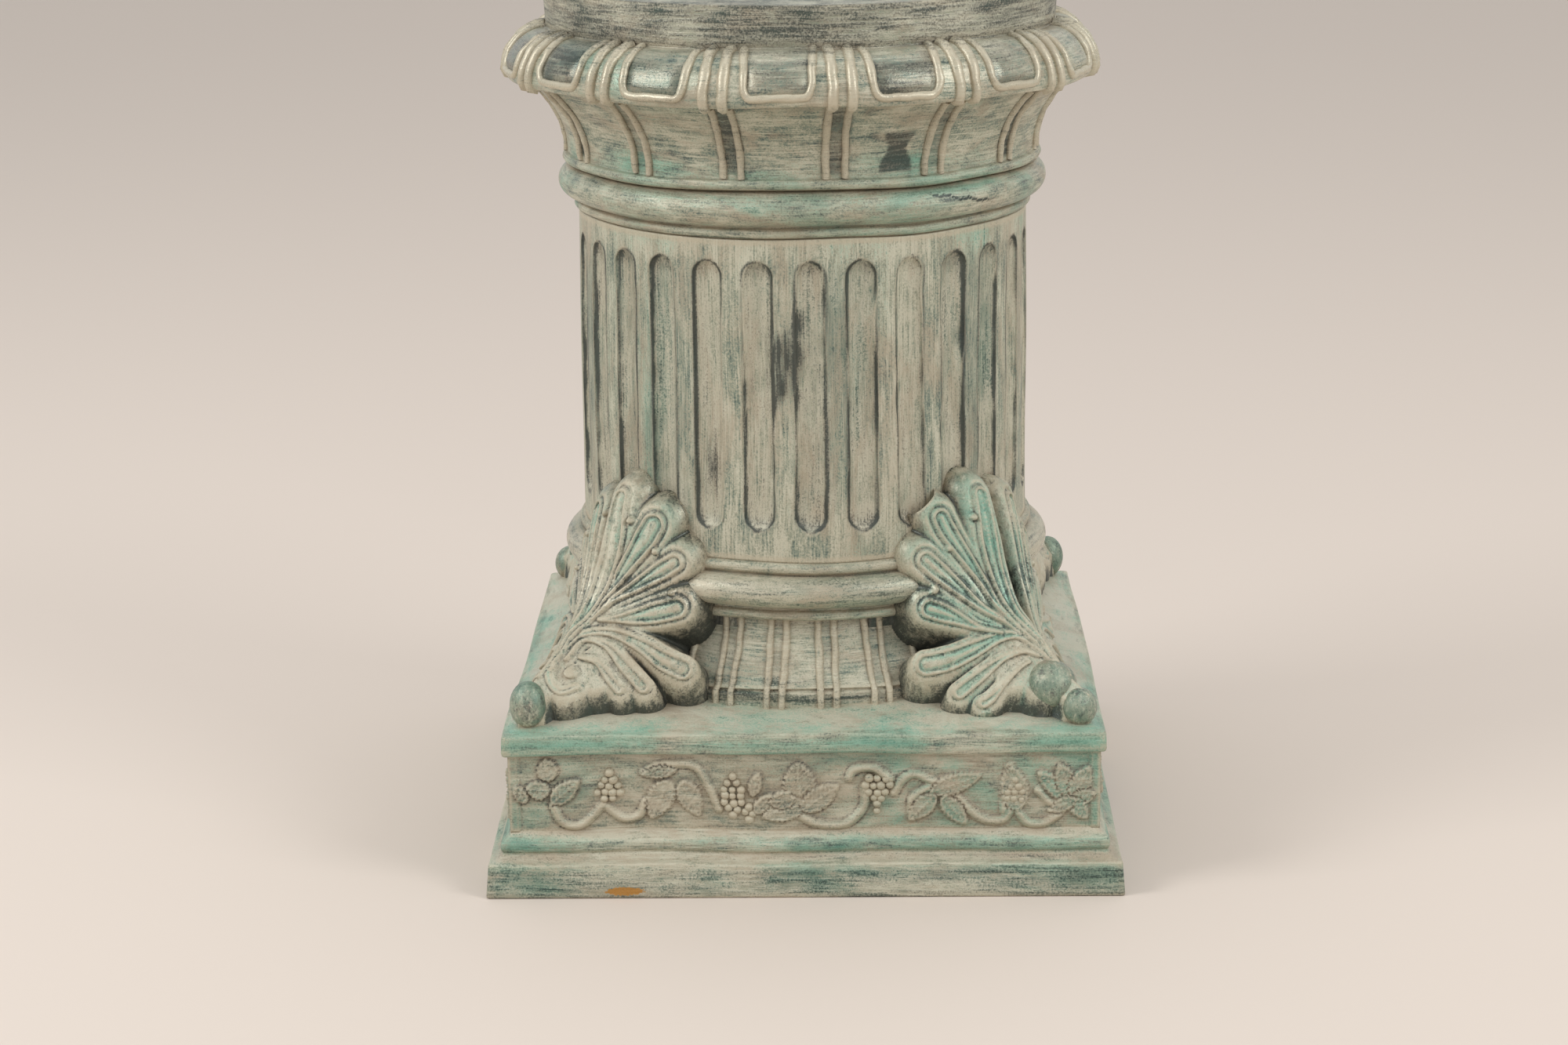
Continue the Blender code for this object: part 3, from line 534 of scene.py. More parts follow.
roundBase = {
    "columns": 400, "edgeRound": 0.0006, "arcSteps": 2, "skirtSteps": 10, "skirtBend": 1.7,
    "skirtInset": 0.0012,
    "foot": [("rimRadius", -51.99, "slabEdge", 0), ("rimRadius", 0, "slabEdge", 0),
             ("rimRadius", 0, "skirtFloor", -1.6),
             ("rimRadius", -3.4, "skirtFloor", -0.4), ("rimRadius", -1.6, "skirtFloor", 1.2)],
    "rounds": [
        ("skirtHead", 5.0, "skirtTop", 0, "torusFloor", -2.2, 4.5, 8),
        ("shaftRadius", -1.0, "torusFloor", -1.4),
        ("shaftRadius", 1.2, "torusFloor", 0, "torusTop", 0, 13.3, 16), ("shaftRadius", 0.6, "torusTop", 0.2),
        ("shaftRadius", 0, "torusTop", 0.6, "shaftFloor", 1.0, 3.6, 8),
        ("shaftRadius", -0.4, "shaftFloor", 1.2), ("shaftRadius", -6.0, "shaftFloor", 3.0),
    ],
}
capital = {
    "pairs": 15, "columnsPerPair": 44, "turn": 8.4, "ribSpacing": 0.0125, "edgeRound": 0.0008, "arcSteps": 2,
    "bellSteps": 24, "bellBend": 2.2, "bellFoot": 0.0066, "bellHead": 0.0330,
    "cushionSteps": 30, "shoulder": 0.1, "lipSwell": 0.0013,
    # the panels swell a little inside their frames, with a fine groove along them
    "panelHalf": 0.0252, "frame": 0.0056, "pillow": 0.0016, "pillowFade": 0.006, "panelFrom": 0.0072,
    "groove": 0.0005, "grooveWide": 0.0009,
    "neck": [
        ("shaftRadius", -4.0, "shaftTop", -3.0), ("shaftRadius", -0.4, "shaftTop", 0),
        ("shaftRadius", 0, "shaftTop", 0, "shaftTop", 6.6, 3.0, 8),
        ("shaftRadius", 0.4, "upperTorusFloor", -0.6),
        ("shaftRadius", 0, "upperTorusFloor", 0, "upperTorusTop", 0, 13.6, 28),
        ("shaftRadius", 5.2, "upperTorusTop", 0), ("shaftRadius", 9.0, "upperTorusTop", 1.2),
        ("shaftRadius", 10.5, "upperTorusTop", 4.0), ("shaftRadius", 9.2, "bellFloor", -1.0),
        ("shaftRadius", 6.8, "bellFloor", -0.2),
    ],
    "lip": [("lipRadius", -6.0, "lip", 0.2), ("lipRadius", 0, "lip", 0.4)],
    "drum": [("drumRadius", -0.6, "drumFloor", 0.6), ("drumRadius", 0, "drumFloor", 3.0),
             ("drumRadius", 1.0, "top", -0.1), ("drumRadius", -17.66, "top", 0)],
}


def turnedPiece(name, profile, columns, relief=None):
    # profile is (radius, height) from the bottom up; relief(azimuth, radius, height) is added to the radius
    radius, around = np.meshgrid(profile[:, 0], np.arange(columns) * 360 / columns, indexing="ij")
    height = profile[:, 1][:, None] + 0 * around
    if relief is not None:
        radius = radius + relief(around, radius, height)
    return closedRings(name, ringPoint(around, radius, height))


def skirtCurve(share):
    radius = blend(body["skirtHead"], body["rimRadius"] - roundBase["skirtInset"],
                   (1 - min(share, 1.0)) ** roundBase["skirtBend"])
    return radius, blend(body["skirtFloor"], body["skirtTop"], share)


def bellCurve(share):
    radius = body["shaftRadius"] + blend(capital["bellFoot"], capital["bellHead"],
                                         share ** capital["bellBend"])
    return radius, blend(body["bellFloor"], body["lip"], share)


def cushionCurve(share):
    turn = math.radians(90 * share)
    shoulder = blend(body["lip"], body["drumFloor"], capital["shoulder"])
    swell = body["lipRadius"] + capital["lipSwell"] - body["drumRadius"]
    return body["drumRadius"] + swell * math.cos(turn), blend(shoulder, body["drumFloor"], math.sin(turn))


def buildRoundBase():
    steps = roundBase["skirtSteps"]
    profile = outline(roundBase["foot"]) + [skirtCurve(step / steps) for step in range(1, steps + 1)]
    profile = roundedProfile(profile + outline(roundBase["rounds"]),
                             roundBase["edgeRound"], roundBase["arcSteps"])
    return turnedPiece("roundBase", profile, roundBase["columns"])


def panelRelief(azimuth, radius, height):
    pitch = 360 / capital["pairs"]
    local = wrapped(azimuth, capital["turn"], pitch)
    aside = np.radians(np.abs(np.abs(local) - pitch / 2)) * radius
    inner = capital["panelHalf"] - capital["frame"]
    low, top = body["lip"] + capital["panelFrom"], body["drumFloor"]
    up = np.clip((height - low) / (top - low), 0, 1)
    swell = smooth(0, capital["pillowFade"], inner - aside) * smooth(0.0, 0.25, up) * (1 - 0.5 * up)
    groove = np.exp(-((aside - inner) / capital["grooveWide"]) ** 2)
    return (capital["pillow"] * swell - capital["groove"] * groove) * (height > low) * (height < top - 0.0004)


def buildCapital():
    profile = outline(capital["neck"])
    profile += [bellCurve(step / capital["bellSteps"]) for step in range(capital["bellSteps"] + 1)]
    profile += outline(capital["lip"])
    profile += [cushionCurve(step / capital["cushionSteps"]) for step in range(capital["cushionSteps"] + 1)]
    profile = roundedProfile(profile + outline(capital["drum"]), capital["edgeRound"], capital["arcSteps"])
    return turnedPiece("capitalAndDrum", profile, capital["pairs"] * capital["columnsPerPair"], panelRelief)


# ---- fluted shaft

flutes = {
    "sizes": {
        "Radius": body["shaftRadius"], "Floor": body["shaftFloor"],
        "Height": body["shaftTop"] - body["shaftFloor"],
        "Turn": 2.3, "Flute Width": 0.0200, "Flute Depth": 0.0042, "Bottom Margin": 0.0223,
        "Top Margin": 0.0158,
        "Wobble": 0.0070,
    },
    "counts": {"Flutes": 28, "Rows": 76},
    # 24 columns to a flute: 0 to 7 from its middle lie in the scoop, 7 to 12 on the fillet beside it
    "place": [
        ("columns", "MULTIPLY_ADD", "Flutes", 24.0, 1.0), ("across", "ADD", "gridX", 0.5),
        # rows crowd towards both ends, where the flutes are rounded
        ("level", "ADD", "gridY", 0.5), ("once", "MULTIPLY", "level", 2 * math.pi), ("wave", "SINE", "once"),
        ("up", "MULTIPLY_ADD", "wave", -0.6 / (2 * math.pi), "level"), ("rise", "MULTIPLY", "up", "Height"),
        # which flute, and how far from its middle in columns
        ("flute", "MULTIPLY", "across", "Flutes"), ("nudged", "ADD", "flute", 0.0001),
        ("whole", "FLOOR", "nudged"),
        ("part", "SUBTRACT", "flute", "whole"), ("local", "MULTIPLY_ADD", "part", 24.0, -12.0),
        ("side", "SIGN", "local"), ("column", "ABSOLUTE", "local"),
        # the flute's half width here: straight, and a half circle at each end
        ("roundness", "MULTIPLY", "Flute Width", 0.5), ("lowEnd", "ADD", "Bottom Margin", "roundness"),
        ("topEdge", "SUBTRACT", "Height", "Top Margin"), ("highEnd", "SUBTRACT", "topEdge", "roundness"),
        ("under", "SUBTRACT", "lowEnd", "rise"), ("over", "SUBTRACT", "rise", "highEnd"),
        ("outside", "MAXIMUM", "under", "over"), ("past", "MAXIMUM", "outside", 0.0),
        ("pastShare", "DIVIDE", "past", "roundness"), ("pastSquare", "MULTIPLY", "pastShare", "pastShare"),
        ("left", "SUBTRACT", 1.0, "pastSquare"), ("open", "MAXIMUM", "left", 0.05), ("root", "SQRT", "open"),
        ("half", "MULTIPLY", "root", "roundness"),
        ("pitch", "DIVIDE", math.pi, "Flutes"), ("halfPitch", "MULTIPLY", "pitch", "Radius"),
        ("spare", "SUBTRACT", "halfPitch", "half"),
        # where the noise that makes it wobble is read
        ("seatX", "MULTIPLY", "whole", 3.7), ("seatY", "MULTIPLY", "side", 0.45),
        ("seatZ", "MULTIPLY", "rise", 26.0),
    ],
    "surface": [
        ("bow", "SINE", "swing"), ("inFlute", "MULTIPLY", "bow", "half"),
        ("aside", "ADD", "inFlute", "fillet"),
        # depth of the scoop
        ("asideShare", "DIVIDE", "aside", "roundness"),
        ("asideSquare", "MULTIPLY_ADD", "asideShare", "asideShare", "pastSquare"),
        ("within", "SUBTRACT", 1.0, "asideSquare"), ("scoop", "MAXIMUM", "within", 0.0),
        ("curve", "POWER", "scoop", 0.6), ("bite", "MULTIPLY", "curve", "Flute Depth"),
        ("wall", "SUBTRACT", "Radius", "bite"),
        # the first and the last row close on the axis
        ("fromMiddle", "SUBTRACT", "up", 0.5), ("fromEnd", "ABSOLUTE", "fromMiddle"),
        ("between", "LESS_THAN", "fromEnd", 0.49999), ("radius", "MULTIPLY", "wall", "between"),
        # azimuth, with the hand's wobble along each flute
        ("signed", "MULTIPLY", "aside", "side"), ("loose", "SUBTRACT", "noise", 0.5),
        ("heldLoose", "MULTIPLY", "loose", "held"), ("startedLoose", "MULTIPLY", "heldLoose", "started"),
        ("drift", "MULTIPLY", "startedLoose", "open"),
        ("wobbled", "MULTIPLY_ADD", "drift", "Wobble", "signed"),
        ("turned", "DIVIDE", "wobbled", "Radius"), ("fullPitch", "MULTIPLY", "pitch", 2.0),
        ("centre", "MULTIPLY_ADD", "whole", "fullPitch", "turned"), ("start", "RADIANS", "Turn"),
        ("azimuth", "ADD", "centre", "start"), ("sine", "SINE", "azimuth"), ("cosine", "COSINE", "azimuth"),
        ("x", "MULTIPLY", "sine", "radius"), ("ahead", "MULTIPLY", "cosine", "radius"),
        ("y", "MULTIPLY", "ahead", -1.0), ("z", "ADD", "rise", "Floor"),
    ],
}


def shaftTree():
    kinds = {label: "Float" for label in flutes["sizes"]}
    kinds.update({label: "Int" for label in flutes["counts"]})
    tree, given = startTree("flutedShaft", {**kinds, "Material": "Material"})
    grid = addNode(tree, "ShaderNodeSeparateXYZ", {}, {0: addNode(tree, "GeometryNodeInputPosition")})
    made = addFormula(tree, given, {"gridX": grid.outputs[0], "gridY": grid.outputs[1]}, flutes["place"])
    sheet = addNode(tree, "GeometryNodeMeshGrid", {}, {
        "Size X": 1.0, "Size Y": 1.0, "Vertices X": made["columns"], "Vertices Y": given["Rows"]})
    for name, low, high, most in (("swing", 0.0, 7.0, math.pi / 2), ("fillet", 7.0, 12.0, made["spare"]),
                                  ("held", 12.0, 7.0, 1.0), ("started", 0.0, 2.0, 1.0)):
        made[name] = addNode(tree, "ShaderNodeMapRange", {}, {
            "Value": made["column"], "From Min": low, "From Max": high, "To Max": most})
    seat = addNode(tree, "ShaderNodeCombineXYZ", {}, {0: made["seatX"], 1: made["seatY"], 2: made["seatZ"]})
    made["noise"] = addNode(tree, "ShaderNodeTexNoise", {}, {"Vector": seat, "Scale": 1.0, "Detail": 1.0})
    addFormula(tree, given, made, flutes["surface"])
    place = addNode(tree, "ShaderNodeCombineXYZ", {}, {0: made["x"], 1: made["y"], 2: made["z"]})
    moved = addNode(tree, "GeometryNodeSetPosition", {}, {"Geometry": sheet, "Position": place})
    closed = addNode(tree, "GeometryNodeMergeByDistance", {}, {"Geometry": moved, "Distance": 0.00001})
    endTree(tree, closed, given["Material"])
    return tree


def buildShaft():
    return bakeTree("flutedShaft", shaftTree(), {
        **flutes["sizes"], **flutes["counts"], "Material": uprightBronze})


# ---- ribs: one path, swept with a round section, in pairs around the axis

ribs = {
    "skirtPairs": 30, "skirtTurn": 5.6, "skirtSpacing": 0.0105, "skirtThick": 0.0024, "bellThick": 0.0025,
    "cushionThick": 0.0036, "frameThick": 0.0028, "sides": 10, "unevenness": 0.0030, "lumpScale": 95.0,
    "proud": 0.0002,
    "skirtFoot": [("rimRadius", 0.4, "slabEdge", 6.0), ("rimRadius", 0.6, "skirtFloor", -1.0)],
    "cushionFoot": [("lipRadius", -4.0, "lip", 0.4), ("lipRadius", 0.2, "lip", 1.0)],
    # frames: share of the cushion's height where the upright starts, turns and where the bar lies
    "frameTop": 0.97, "frameTurn": 0.26, "frameBar": 0.06, "frameRound": 0.006,
}


def ribTree():
    tree, given = startTree("ribPairs", {
        "Path": "Geometry", "Pairs": "Int", "Turn": "Float", "Spacing": "Float", "Thickness": "Float",
        "Unevenness": "Float", "Paired": "Bool", "Sides": "Int", "Material": "Material"})
    path = addNode(tree, "GeometryNodeMeshToCurve", {}, {"Mesh": given["Path"]})
    ring = addNode(tree, "GeometryNodeCurvePrimitiveCircle", {}, {
        "Resolution": given["Sides"], "Radius": given["Thickness"]})
    rib = addNode(tree, "GeometryNodeCurveToMesh", {},
                  {"Curve": path, "Profile Curve": ring, "Fill Caps": True})
    made = addFormula(tree, given, {"number": addNode(tree, "GeometryNodeInputIndex")}, [
        ("left", "MULTIPLY", "Spacing", -0.5), ("right", "MULTIPLY", "Spacing", 0.5),
        ("pitch", "DIVIDE", 2 * math.pi, "Pairs"), ("start", "RADIANS", "Turn"),
        ("azimuth", "MULTIPLY_ADD", "number", "pitch", "start")])
    pair = addNode(tree, "GeometryNodeJoinGeometry")
    for side in ("left", "right"):
        aside = addNode(tree, "ShaderNodeCombineXYZ", {}, {0: made[side]})
        shifted = addNode(tree, "GeometryNodeTransform", {}, {"Geometry": rib, "Translation": aside})
        tree.links.new(shifted.outputs[0], pair.inputs[0])
    chosen = addNode(tree, "GeometryNodeSwitch", {"input_type": "GEOMETRY"}, {
        "Switch": given["Paired"], "False": rib, "True": pair})
    spots = addNode(tree, "GeometryNodeMeshLine", {}, {"Count": given["Pairs"], "Offset": (0.0, 0.0, 0.0)})
    upright = addNode(tree, "ShaderNodeCombineXYZ", {}, {2: made["azimuth"]})
    facing = addNode(tree, "FunctionNodeEulerToRotation", {}, {0: upright})
    spread = addNode(tree, "GeometryNodeInstanceOnPoints", {}, {
        "Points": spots, "Instance": chosen, "Rotation": facing})
    whole = addNode(tree, "GeometryNodeRealizeInstances", {}, {"Geometry": spread})
    lumps = addNode(tree, "ShaderNodeTexNoise", {}, {
        "Vector": addNode(tree, "GeometryNodeInputPosition"), "Scale": ribs["lumpScale"], "Detail": 2.0})
    lumps = addNode(tree, "ShaderNodeVectorMath", {"operation": "SUBTRACT"},
                    {0: lumps.outputs["Color"], 1: (0.5,) * 3})
    lumps = addNode(tree, "ShaderNodeVectorMath", {"operation": "SCALE"},
                    {0: lumps, "Scale": given["Unevenness"]})
    handMade = addNode(tree, "GeometryNodeSetPosition", {}, {"Geometry": whole, "Offset": lumps})
    endTree(tree, handMade, given["Material"])
    return tree


def cushionPoint(share, aside):
    # a point on the cushion: share of the quarter round from the lip, metres to the side
    radius, height = cushionCurve(share)
    return (radius * math.sin(aside / radius), -radius * math.cos(aside / radius), height)


def framePath():
    # U-shaped, open at the drum, with rounded lower corners
    half = capital["panelHalf"] - capital["frame"] / 2
    high, low, corner = ribs["frameTurn"], ribs["frameBar"], ribs["frameRound"]
    path = [cushionPoint(share, -half) for share in np.linspace(ribs["frameTop"], high, 10)]
    for angle in (math.pi / 2 * step / 6 for step in range(1, 6)):
        path.append(cushionPoint(high - (high - low) * math.sin(angle),
                                 -half + corner * (1 - math.cos(angle))))
    path += [cushionPoint(low, x) for x in np.linspace(-half + corner, 0, 6)]
    return path + [(-x, y, z) for x, y, z in path[-2::-1]]


def buildRibs():
    out = ribs["proud"]
    skirt = [skirtCurve(share) for share in np.linspace(0.04, 1.02, 12)]
    bell = [bellCurve(share) for share in np.linspace(0.0, 0.985, 18)]
    cushion = [cushionCurve(share) for share in np.linspace(0.02, 0.98, 16)]
    skirt = outline(ribs["skirtFoot"]) + [(radius + out, height) for radius, height in skirt]
    bell = [(radius + out, height) for radius, height in bell]
    upright = [[(0, -radius, height) for radius, height in path]
               for path in (skirt, bell, outline(ribs["cushionFoot"]) + cushion)]
    count, turn, spacing = capital["pairs"], capital["turn"], capital["ribSpacing"]
    tree = ribTree()
    made = []
    for name, path, pairs, first, apart, thick in (
            ("skirtRibs", upright[0], ribs["skirtPairs"], ribs["skirtTurn"], ribs["skirtSpacing"],
             ribs["skirtThick"]),
            ("bellRibs", upright[1], count, turn, spacing, ribs["bellThick"]),
            ("cushionRibs", upright[2], count, turn, spacing, ribs["cushionThick"]),
            ("cushionFrames", framePath(), count, turn + 180 / count, 0.0, ribs["frameThick"])):
        seed = bpy.data.meshes.new(name + "Path")
        seed.from_pydata(path, [(i, i + 1) for i in range(len(path) - 1)], [])
        made.append(bakeTree(name, tree, {
            "Pairs": pairs, "Turn": first, "Spacing": apart, "Thickness": thick,
            "Unevenness": ribs["unevenness"],
            "Paired": apart > 0, "Sides": ribs["sides"], "Material": roundBronze}, seed))
    return made


# ---- corner leaves

leaf = {
    "front": (222, 234), "back": (160, 168), "toeInset": 0.0160, "overTip": 0.10, "tipRise": 0.16,
    "footFrom": 0.90, "footRows": 1.24, "footPower": 2.4, "sunk": 0.001, "sideReach": 1.27,
    "web": -0.0016, "pillow": 0.0018, "merge": 0.0009, "bulge": 0.0035,
    "core": 0.150, "wallTip": 0.0105, "wallFoot": 0.0042, "wallFrom": 0.0010, "tilt": 72.0,
    # Bezier points of the middle fold and of the edge: degrees aside, share of the way out from the shaft to
    # the toe, millimetres added to that, and millimetres above the slab
    "fold": [(0, 0, 11, 158), (0, 0.42, 0, 104.28), (0, 0.42, 0, 53.72), (0, 1, 0, 24)],
    "edge": [(4, 0, 11, 158), (22, 0, 11, 123.24), (26, 0, 16.5, 50.56), (16.5, 0.43, 0, 4.424)],
    # a lobe's section: millimetres inside its edge, and millimetres of lift there
    "section": ([-0.6, 0.0, 0.9, 2.0, 3.1, 4.4, 6.6], [-1.6, -1.3, 1.7, 1.7, -0.6, 0.1, 1.3]),
    # two kinds of leaf. Lobes run from root to tip as (down, across), with the radius in mm at each place;
    # later lobes lie on earlier ones, and the last one is the middle lobe, which is not mirrored
    "scrolled": [
        ([(0.79, 0.19), (0.80, 0.33), (0.86, 0.48), (0.92, 0.64)], [2.0, 2.8, 4.0, 4.6]),
        ([(0.81, 0.10), (0.71, 0.15), (0.72, 0.34), (0.80, 0.54), (0.90, 0.80)], [1.8, 2.4, 3.4, 5.0, 5.6]),
        ([(0.92, 0.31), (0.95, 0.22), (0.89, 0.07), (0.79, 0.01), (0.69, 0.10), (0.66, 0.32), (0.70, 0.58),
          (0.76, 0.80), (0.80, 1.02)], [3.0, 3.4, 3.2, 2.7, 2.8, 3.6, 5.4, 7.6, 8.2]),
        ([(0.61, 0.20), (0.60, 0.34), (0.59, 0.48), (0.57, 0.66), (0.54, 0.93)], [2.0, 3.0, 5.4, 7.8, 8.2]),
        ([(0.74, 0.02), (0.62, 0.11), (0.52, 0.27), (0.45, 0.51), (0.40, 0.73), (0.36, 0.95)],
         [1.8, 2.2, 2.8, 5.2, 7.2, 7.0]),
        ([(0.78, 0.01), (0.67, 0.05), (0.52, 0.17), (0.37, 0.37), (0.26, 0.61), (0.17, 0.87)],
         [1.8, 2.2, 3.0, 6.0, 9.0, 8.8]),
        ([(0.90, 0.0), (0.70, -0.02), (0.58, 0.06), (0.42, 0.12), (0.24, 0.13), (0.05, 0.02)],
         [2.2, 2.8, 4.4, 7.0, 8.2, 6.8]),
    ],
    "balled": [
        ([(0.82, 0.20), (0.84, 0.30), (0.89, 0.46), (0.95, 0.64), (0.97, 0.76)], [1.6, 2.0, 2.6, 3.8, 4.2]),
        ([(0.80, 0.10), (0.77, 0.20), (0.79, 0.38), (0.85, 0.61), (0.92, 0.88)], [1.6, 2.4, 3.0, 4.8, 5.4]),
        ([(0.88, 0.03), (0.76, 0.08), (0.70, 0.18), (0.70, 0.34), (0.74, 0.58), (0.77, 0.79), (0.78, 1.02)],
         [1.8, 2.4, 3.0, 4.2, 6.6, 8.0, 8.2]),
        ([(0.68, 0.30), (0.65, 0.48), (0.61, 0.62), (0.58, 0.75), (0.55, 0.91)], [1.8, 2.6, 5.0, 7.0, 7.4]),
        ([(0.76, 0.03), (0.64, 0.22), (0.57, 0.40), (0.48, 0.60), (0.41, 0.80), (0.35, 1.00)],
         [1.8, 2.4, 3.2, 5.4, 7.0, 7.0]),
        ([(0.78, 0.02), (0.66, 0.14), (0.56, 0.26), (0.45, 0.36), (0.34, 0.54), (0.25, 0.76), (0.16, 1.02)],
         [1.8, 2.2, 2.8, 4.0, 5.6, 7.0, 6.8]),
        ([(0.90, 0.0), (0.72, 0.02), (0.58, 0.13), (0.44, 0.18), (0.27, 0.20), (0.04, 0.16)],
         [2.2, 2.8, 4.0, 5.6, 6.8, 5.6]),
    ],
    "masses": [(0.80, 0.34, 10.0), (0.85, 0.34, 10.5), (0.90, 0.20, 10.5)],   # plain lumps under the scroll
    # small balls between lobes; the last is the scroll's eye, which only the scrolled leaf has
    "eyelets": [(0.18, 0.40, 2.4), (0.32, 0.70, 2.4), (0.49, 0.80, 2.6), (0.865, 0.20, 4.2)],
}
cornerReach = body["slabHalf"] * math.sqrt(2) - leaf["toeInset"]


def bezier(rows, share):
    share = np.asarray(share, float)[..., None]
    rest = 1 - share
    a, b, c, d = (np.array([turn, blend(body["shaftRadius"], cornerReach, out) + more / 1000,
                            body["slabEdge"] + up / 1000]) for turn, out, more, up in rows)
    return rest ** 3 * a + 3 * rest ** 2 * share * b + 3 * rest * share ** 2 * c + share ** 3 * d


def leafPlace(down, across):
    # corner frame: +X out along the diagonal, +Y to one side
    down, across = np.broadcast_arrays(np.asarray(down, float), np.asarray(across, float))
    ridge, edge = bezier(leaf["fold"], down), bezier(leaf["edge"], down)
    angle = np.radians(edge[..., 0])
    share = np.abs(across)
    out = blend(ridge[..., 1], edge[..., 1] * np.cos(angle), share)
    aside = np.sign(across) * edge[..., 1] * np.sin(angle) * share
    swell = np.sin(math.pi * np.clip(share, 0, 1)) * np.sin(math.pi * np.clip(down, 0, 1))
    return np.stack([out + leaf["bulge"] * swell, aside, blend(ridge[..., 2], edge[..., 2], share)], -1)


def cornerTurned(points, turn):
    # from the corner's frame to the row's: the corner's +X lies at this azimuth
    angle = math.radians(turn - 90)
    spin = np.array([[math.cos(angle), -math.sin(angle), 0], [math.sin(angle), math.cos(angle), 0],
                     [0, 0, 1]])
    return points @ spin.T


def mirroredSpots(table):
    return [(down, side * across, size) for down, across, size in table for side in (-1, 1)]


def buildLeaf(name, turn, lean, grid, greenMore):
    # a plain curved sheet on the corner, raised and sunk by its lobes; past their edge it rounds over
    # to the column
    rows, columns = grid
    down, across = np.meshgrid(np.linspace(-leaf["overTip"], leaf["footRows"], rows),
                               np.linspace(-leaf["sideReach"], leaf["sideReach"], columns), indexing="ij")
    flat = leafPlace(np.clip(down, 0, 1), across)
    flat[..., 2] += np.where(down < 0, -down * leaf["tipRise"], 0.0)
    foot = np.clip((down - leaf["footFrom"]) / (leaf["footRows"] - leaf["footFrom"]), 0, 1)
    standing = (1 - foot ** leaf["footPower"]) ** (1 / leaf["footPower"])
    flat[..., 2] = blend(body["slabEdge"] - leaf["sunk"], flat[..., 2], standing)
    table = leaf["scrolled" if lean > 0 else "balled"]
    lobes = [([(d, s * a) for d, a in path], radii) for path, radii in table[:-1] for s in (-1, 1)]
    lobes.append(([(d, lean * a) for d, a in table[-1][0]], table[-1][1]))
    lift = np.full(down.shape, leaf["web"])
    fan = np.full(down.shape, -1e3)
    pool = np.zeros(down.shape)
    for path, radii in lobes:
        curve = splinePath(path, 12)
        spots = leafPlace(np.clip(curve[:, 0], 0, 1), curve[:, 1])
        size = np.interp(np.linspace(0, 1, len(curve)), np.linspace(0, 1, len(radii)), radii) / 1000
        # the traced path ends at the blade's tip, so the last circle that is kept touches it
        keep = np.linalg.norm(spots - spots[-1], axis=1) >= size[-1] * 0.8
        inside = np.full(down.shape, -1.0)
        for centre, radius in zip(spots[keep], size[keep]):
            inside = np.maximum(inside, radius - np.linalg.norm(flat - centre, axis=-1))
        lift = np.where(inside > -0.0003, np.interp(inside * 1000, *leaf["section"]) / 1000, lift)
        pool = np.where(inside > 0, band(inside, 0.0018, 0.0030, 0.0045, 0.0075), pool)
        fan = np.logaddexp(fan, inside / leaf["merge"])
    for d, a, size in mirroredSpots(leaf["masses"]):
        inside = size / 1000 - np.linalg.norm(flat - leafPlace(d, a), axis=-1)
        fan = np.logaddexp(fan, inside / leaf["merge"])
    for d, a, size in mirroredSpots(leaf["eyelets"][:4 if lean > 0 else 3]):
        away = np.linalg.norm(flat - leafPlace(d, a), axis=-1) * 1000
        ball = np.sqrt(np.clip(size ** 2 - away ** 2, 0, None)) / 1000
        lift = np.where(away < size, np.maximum(lift, ball), lift)
    lift = (2 * lift + sum(np.roll(lift, step, axis) for axis in (0, 1) for step in (1, -1))) / 6
    # under the scroll the toe is one rounded body down to the slab
    toeBody = smooth(0.84, 0.97, down) * smooth(0.30, 0.10, np.abs(across))
    past = np.minimum(-fan * leaf["merge"], 0.018 - 0.024 * toeBody)
    lift = lift + leaf["pillow"] * smooth(0.0, 0.0040, past)
    lift = np.where(down > 0.98, blend(lift, 0.0, smooth(0.98, 1.05, down)), lift)
    wall = blend(leaf["wallTip"], leaf["wallFoot"], smooth(0.45, 0.80, down))
    folded = np.clip((past - leaf["wallFrom"]) / wall, 0, 1)
    radial = np.hypot(flat[..., 0], flat[..., 1])
    outward = np.stack([flat[..., 0] / radial, flat[..., 1] / radial, 0 * radial], -1)
    # it rounds over inwards at the tip and downwards at the toe, until it is inside the column or the slab
    tilt = np.radians(leaf["tilt"]) * smooth(0.36, 1.0, down)
    deep = flat[..., 2] - body["slabEdge"] + leaf["sunk"]
    reach = np.minimum((radial - leaf["core"]) / np.cos(tilt), deep / np.maximum(np.sin(tilt), 0.001))
    inward = -outward * np.cos(tilt)[..., None] - np.array([0, 0, 1]) * np.sin(tilt)[..., None]
    points = flat + outward * lift[..., None]
    points = points + inward * (np.maximum(reach, 0) * (1 - np.sqrt(1 - folded ** 2)))[..., None]
    # closed by a fan to one point inside the column
    faces = gridFaces(rows, columns, False)
    ring = [r * columns + c for r, c in gridBorder(rows, columns)]
    faces += [[after, here, rows * columns] for here, after in zip(ring, ring[1:] + ring[:1])]
    points = np.vstack([points.reshape(-1, 3), [[0.12, 0.0, body["slabEdge"] + 0.05]]])
    made = meshPiece(name, cornerTurned(points, turn).tolist(), [face[::-1] for face in faces], dabbedBronze)
    putMark(made, "green", np.append((greenMore + 0.28 + 0.36 * pool + 0.42 * folded).ravel(), 0.0))
    # the rolled-over wall, which gather darkens as painted shade
    putMark(made, "fold", np.append(smooth(0.15, 0.9, folded).ravel(), 0.0))
    return made


# metres in the corner's frame: how far in from the toe's end, to the far side, up from the slab's edge;
# then radii
toe = {
    "scrolled": [((0.0090, 0.0, 0.0160), (0.0118, 0.0128, 0.0160))],
    "balled": [((0.0310, -0.0030, 0.0235), (0.0175,) * 3), ((0.0085, 0.0, 0.0125), (0.0112, 0.0124, 0.0135))],
    "rings": 18, "sides": 36,
}


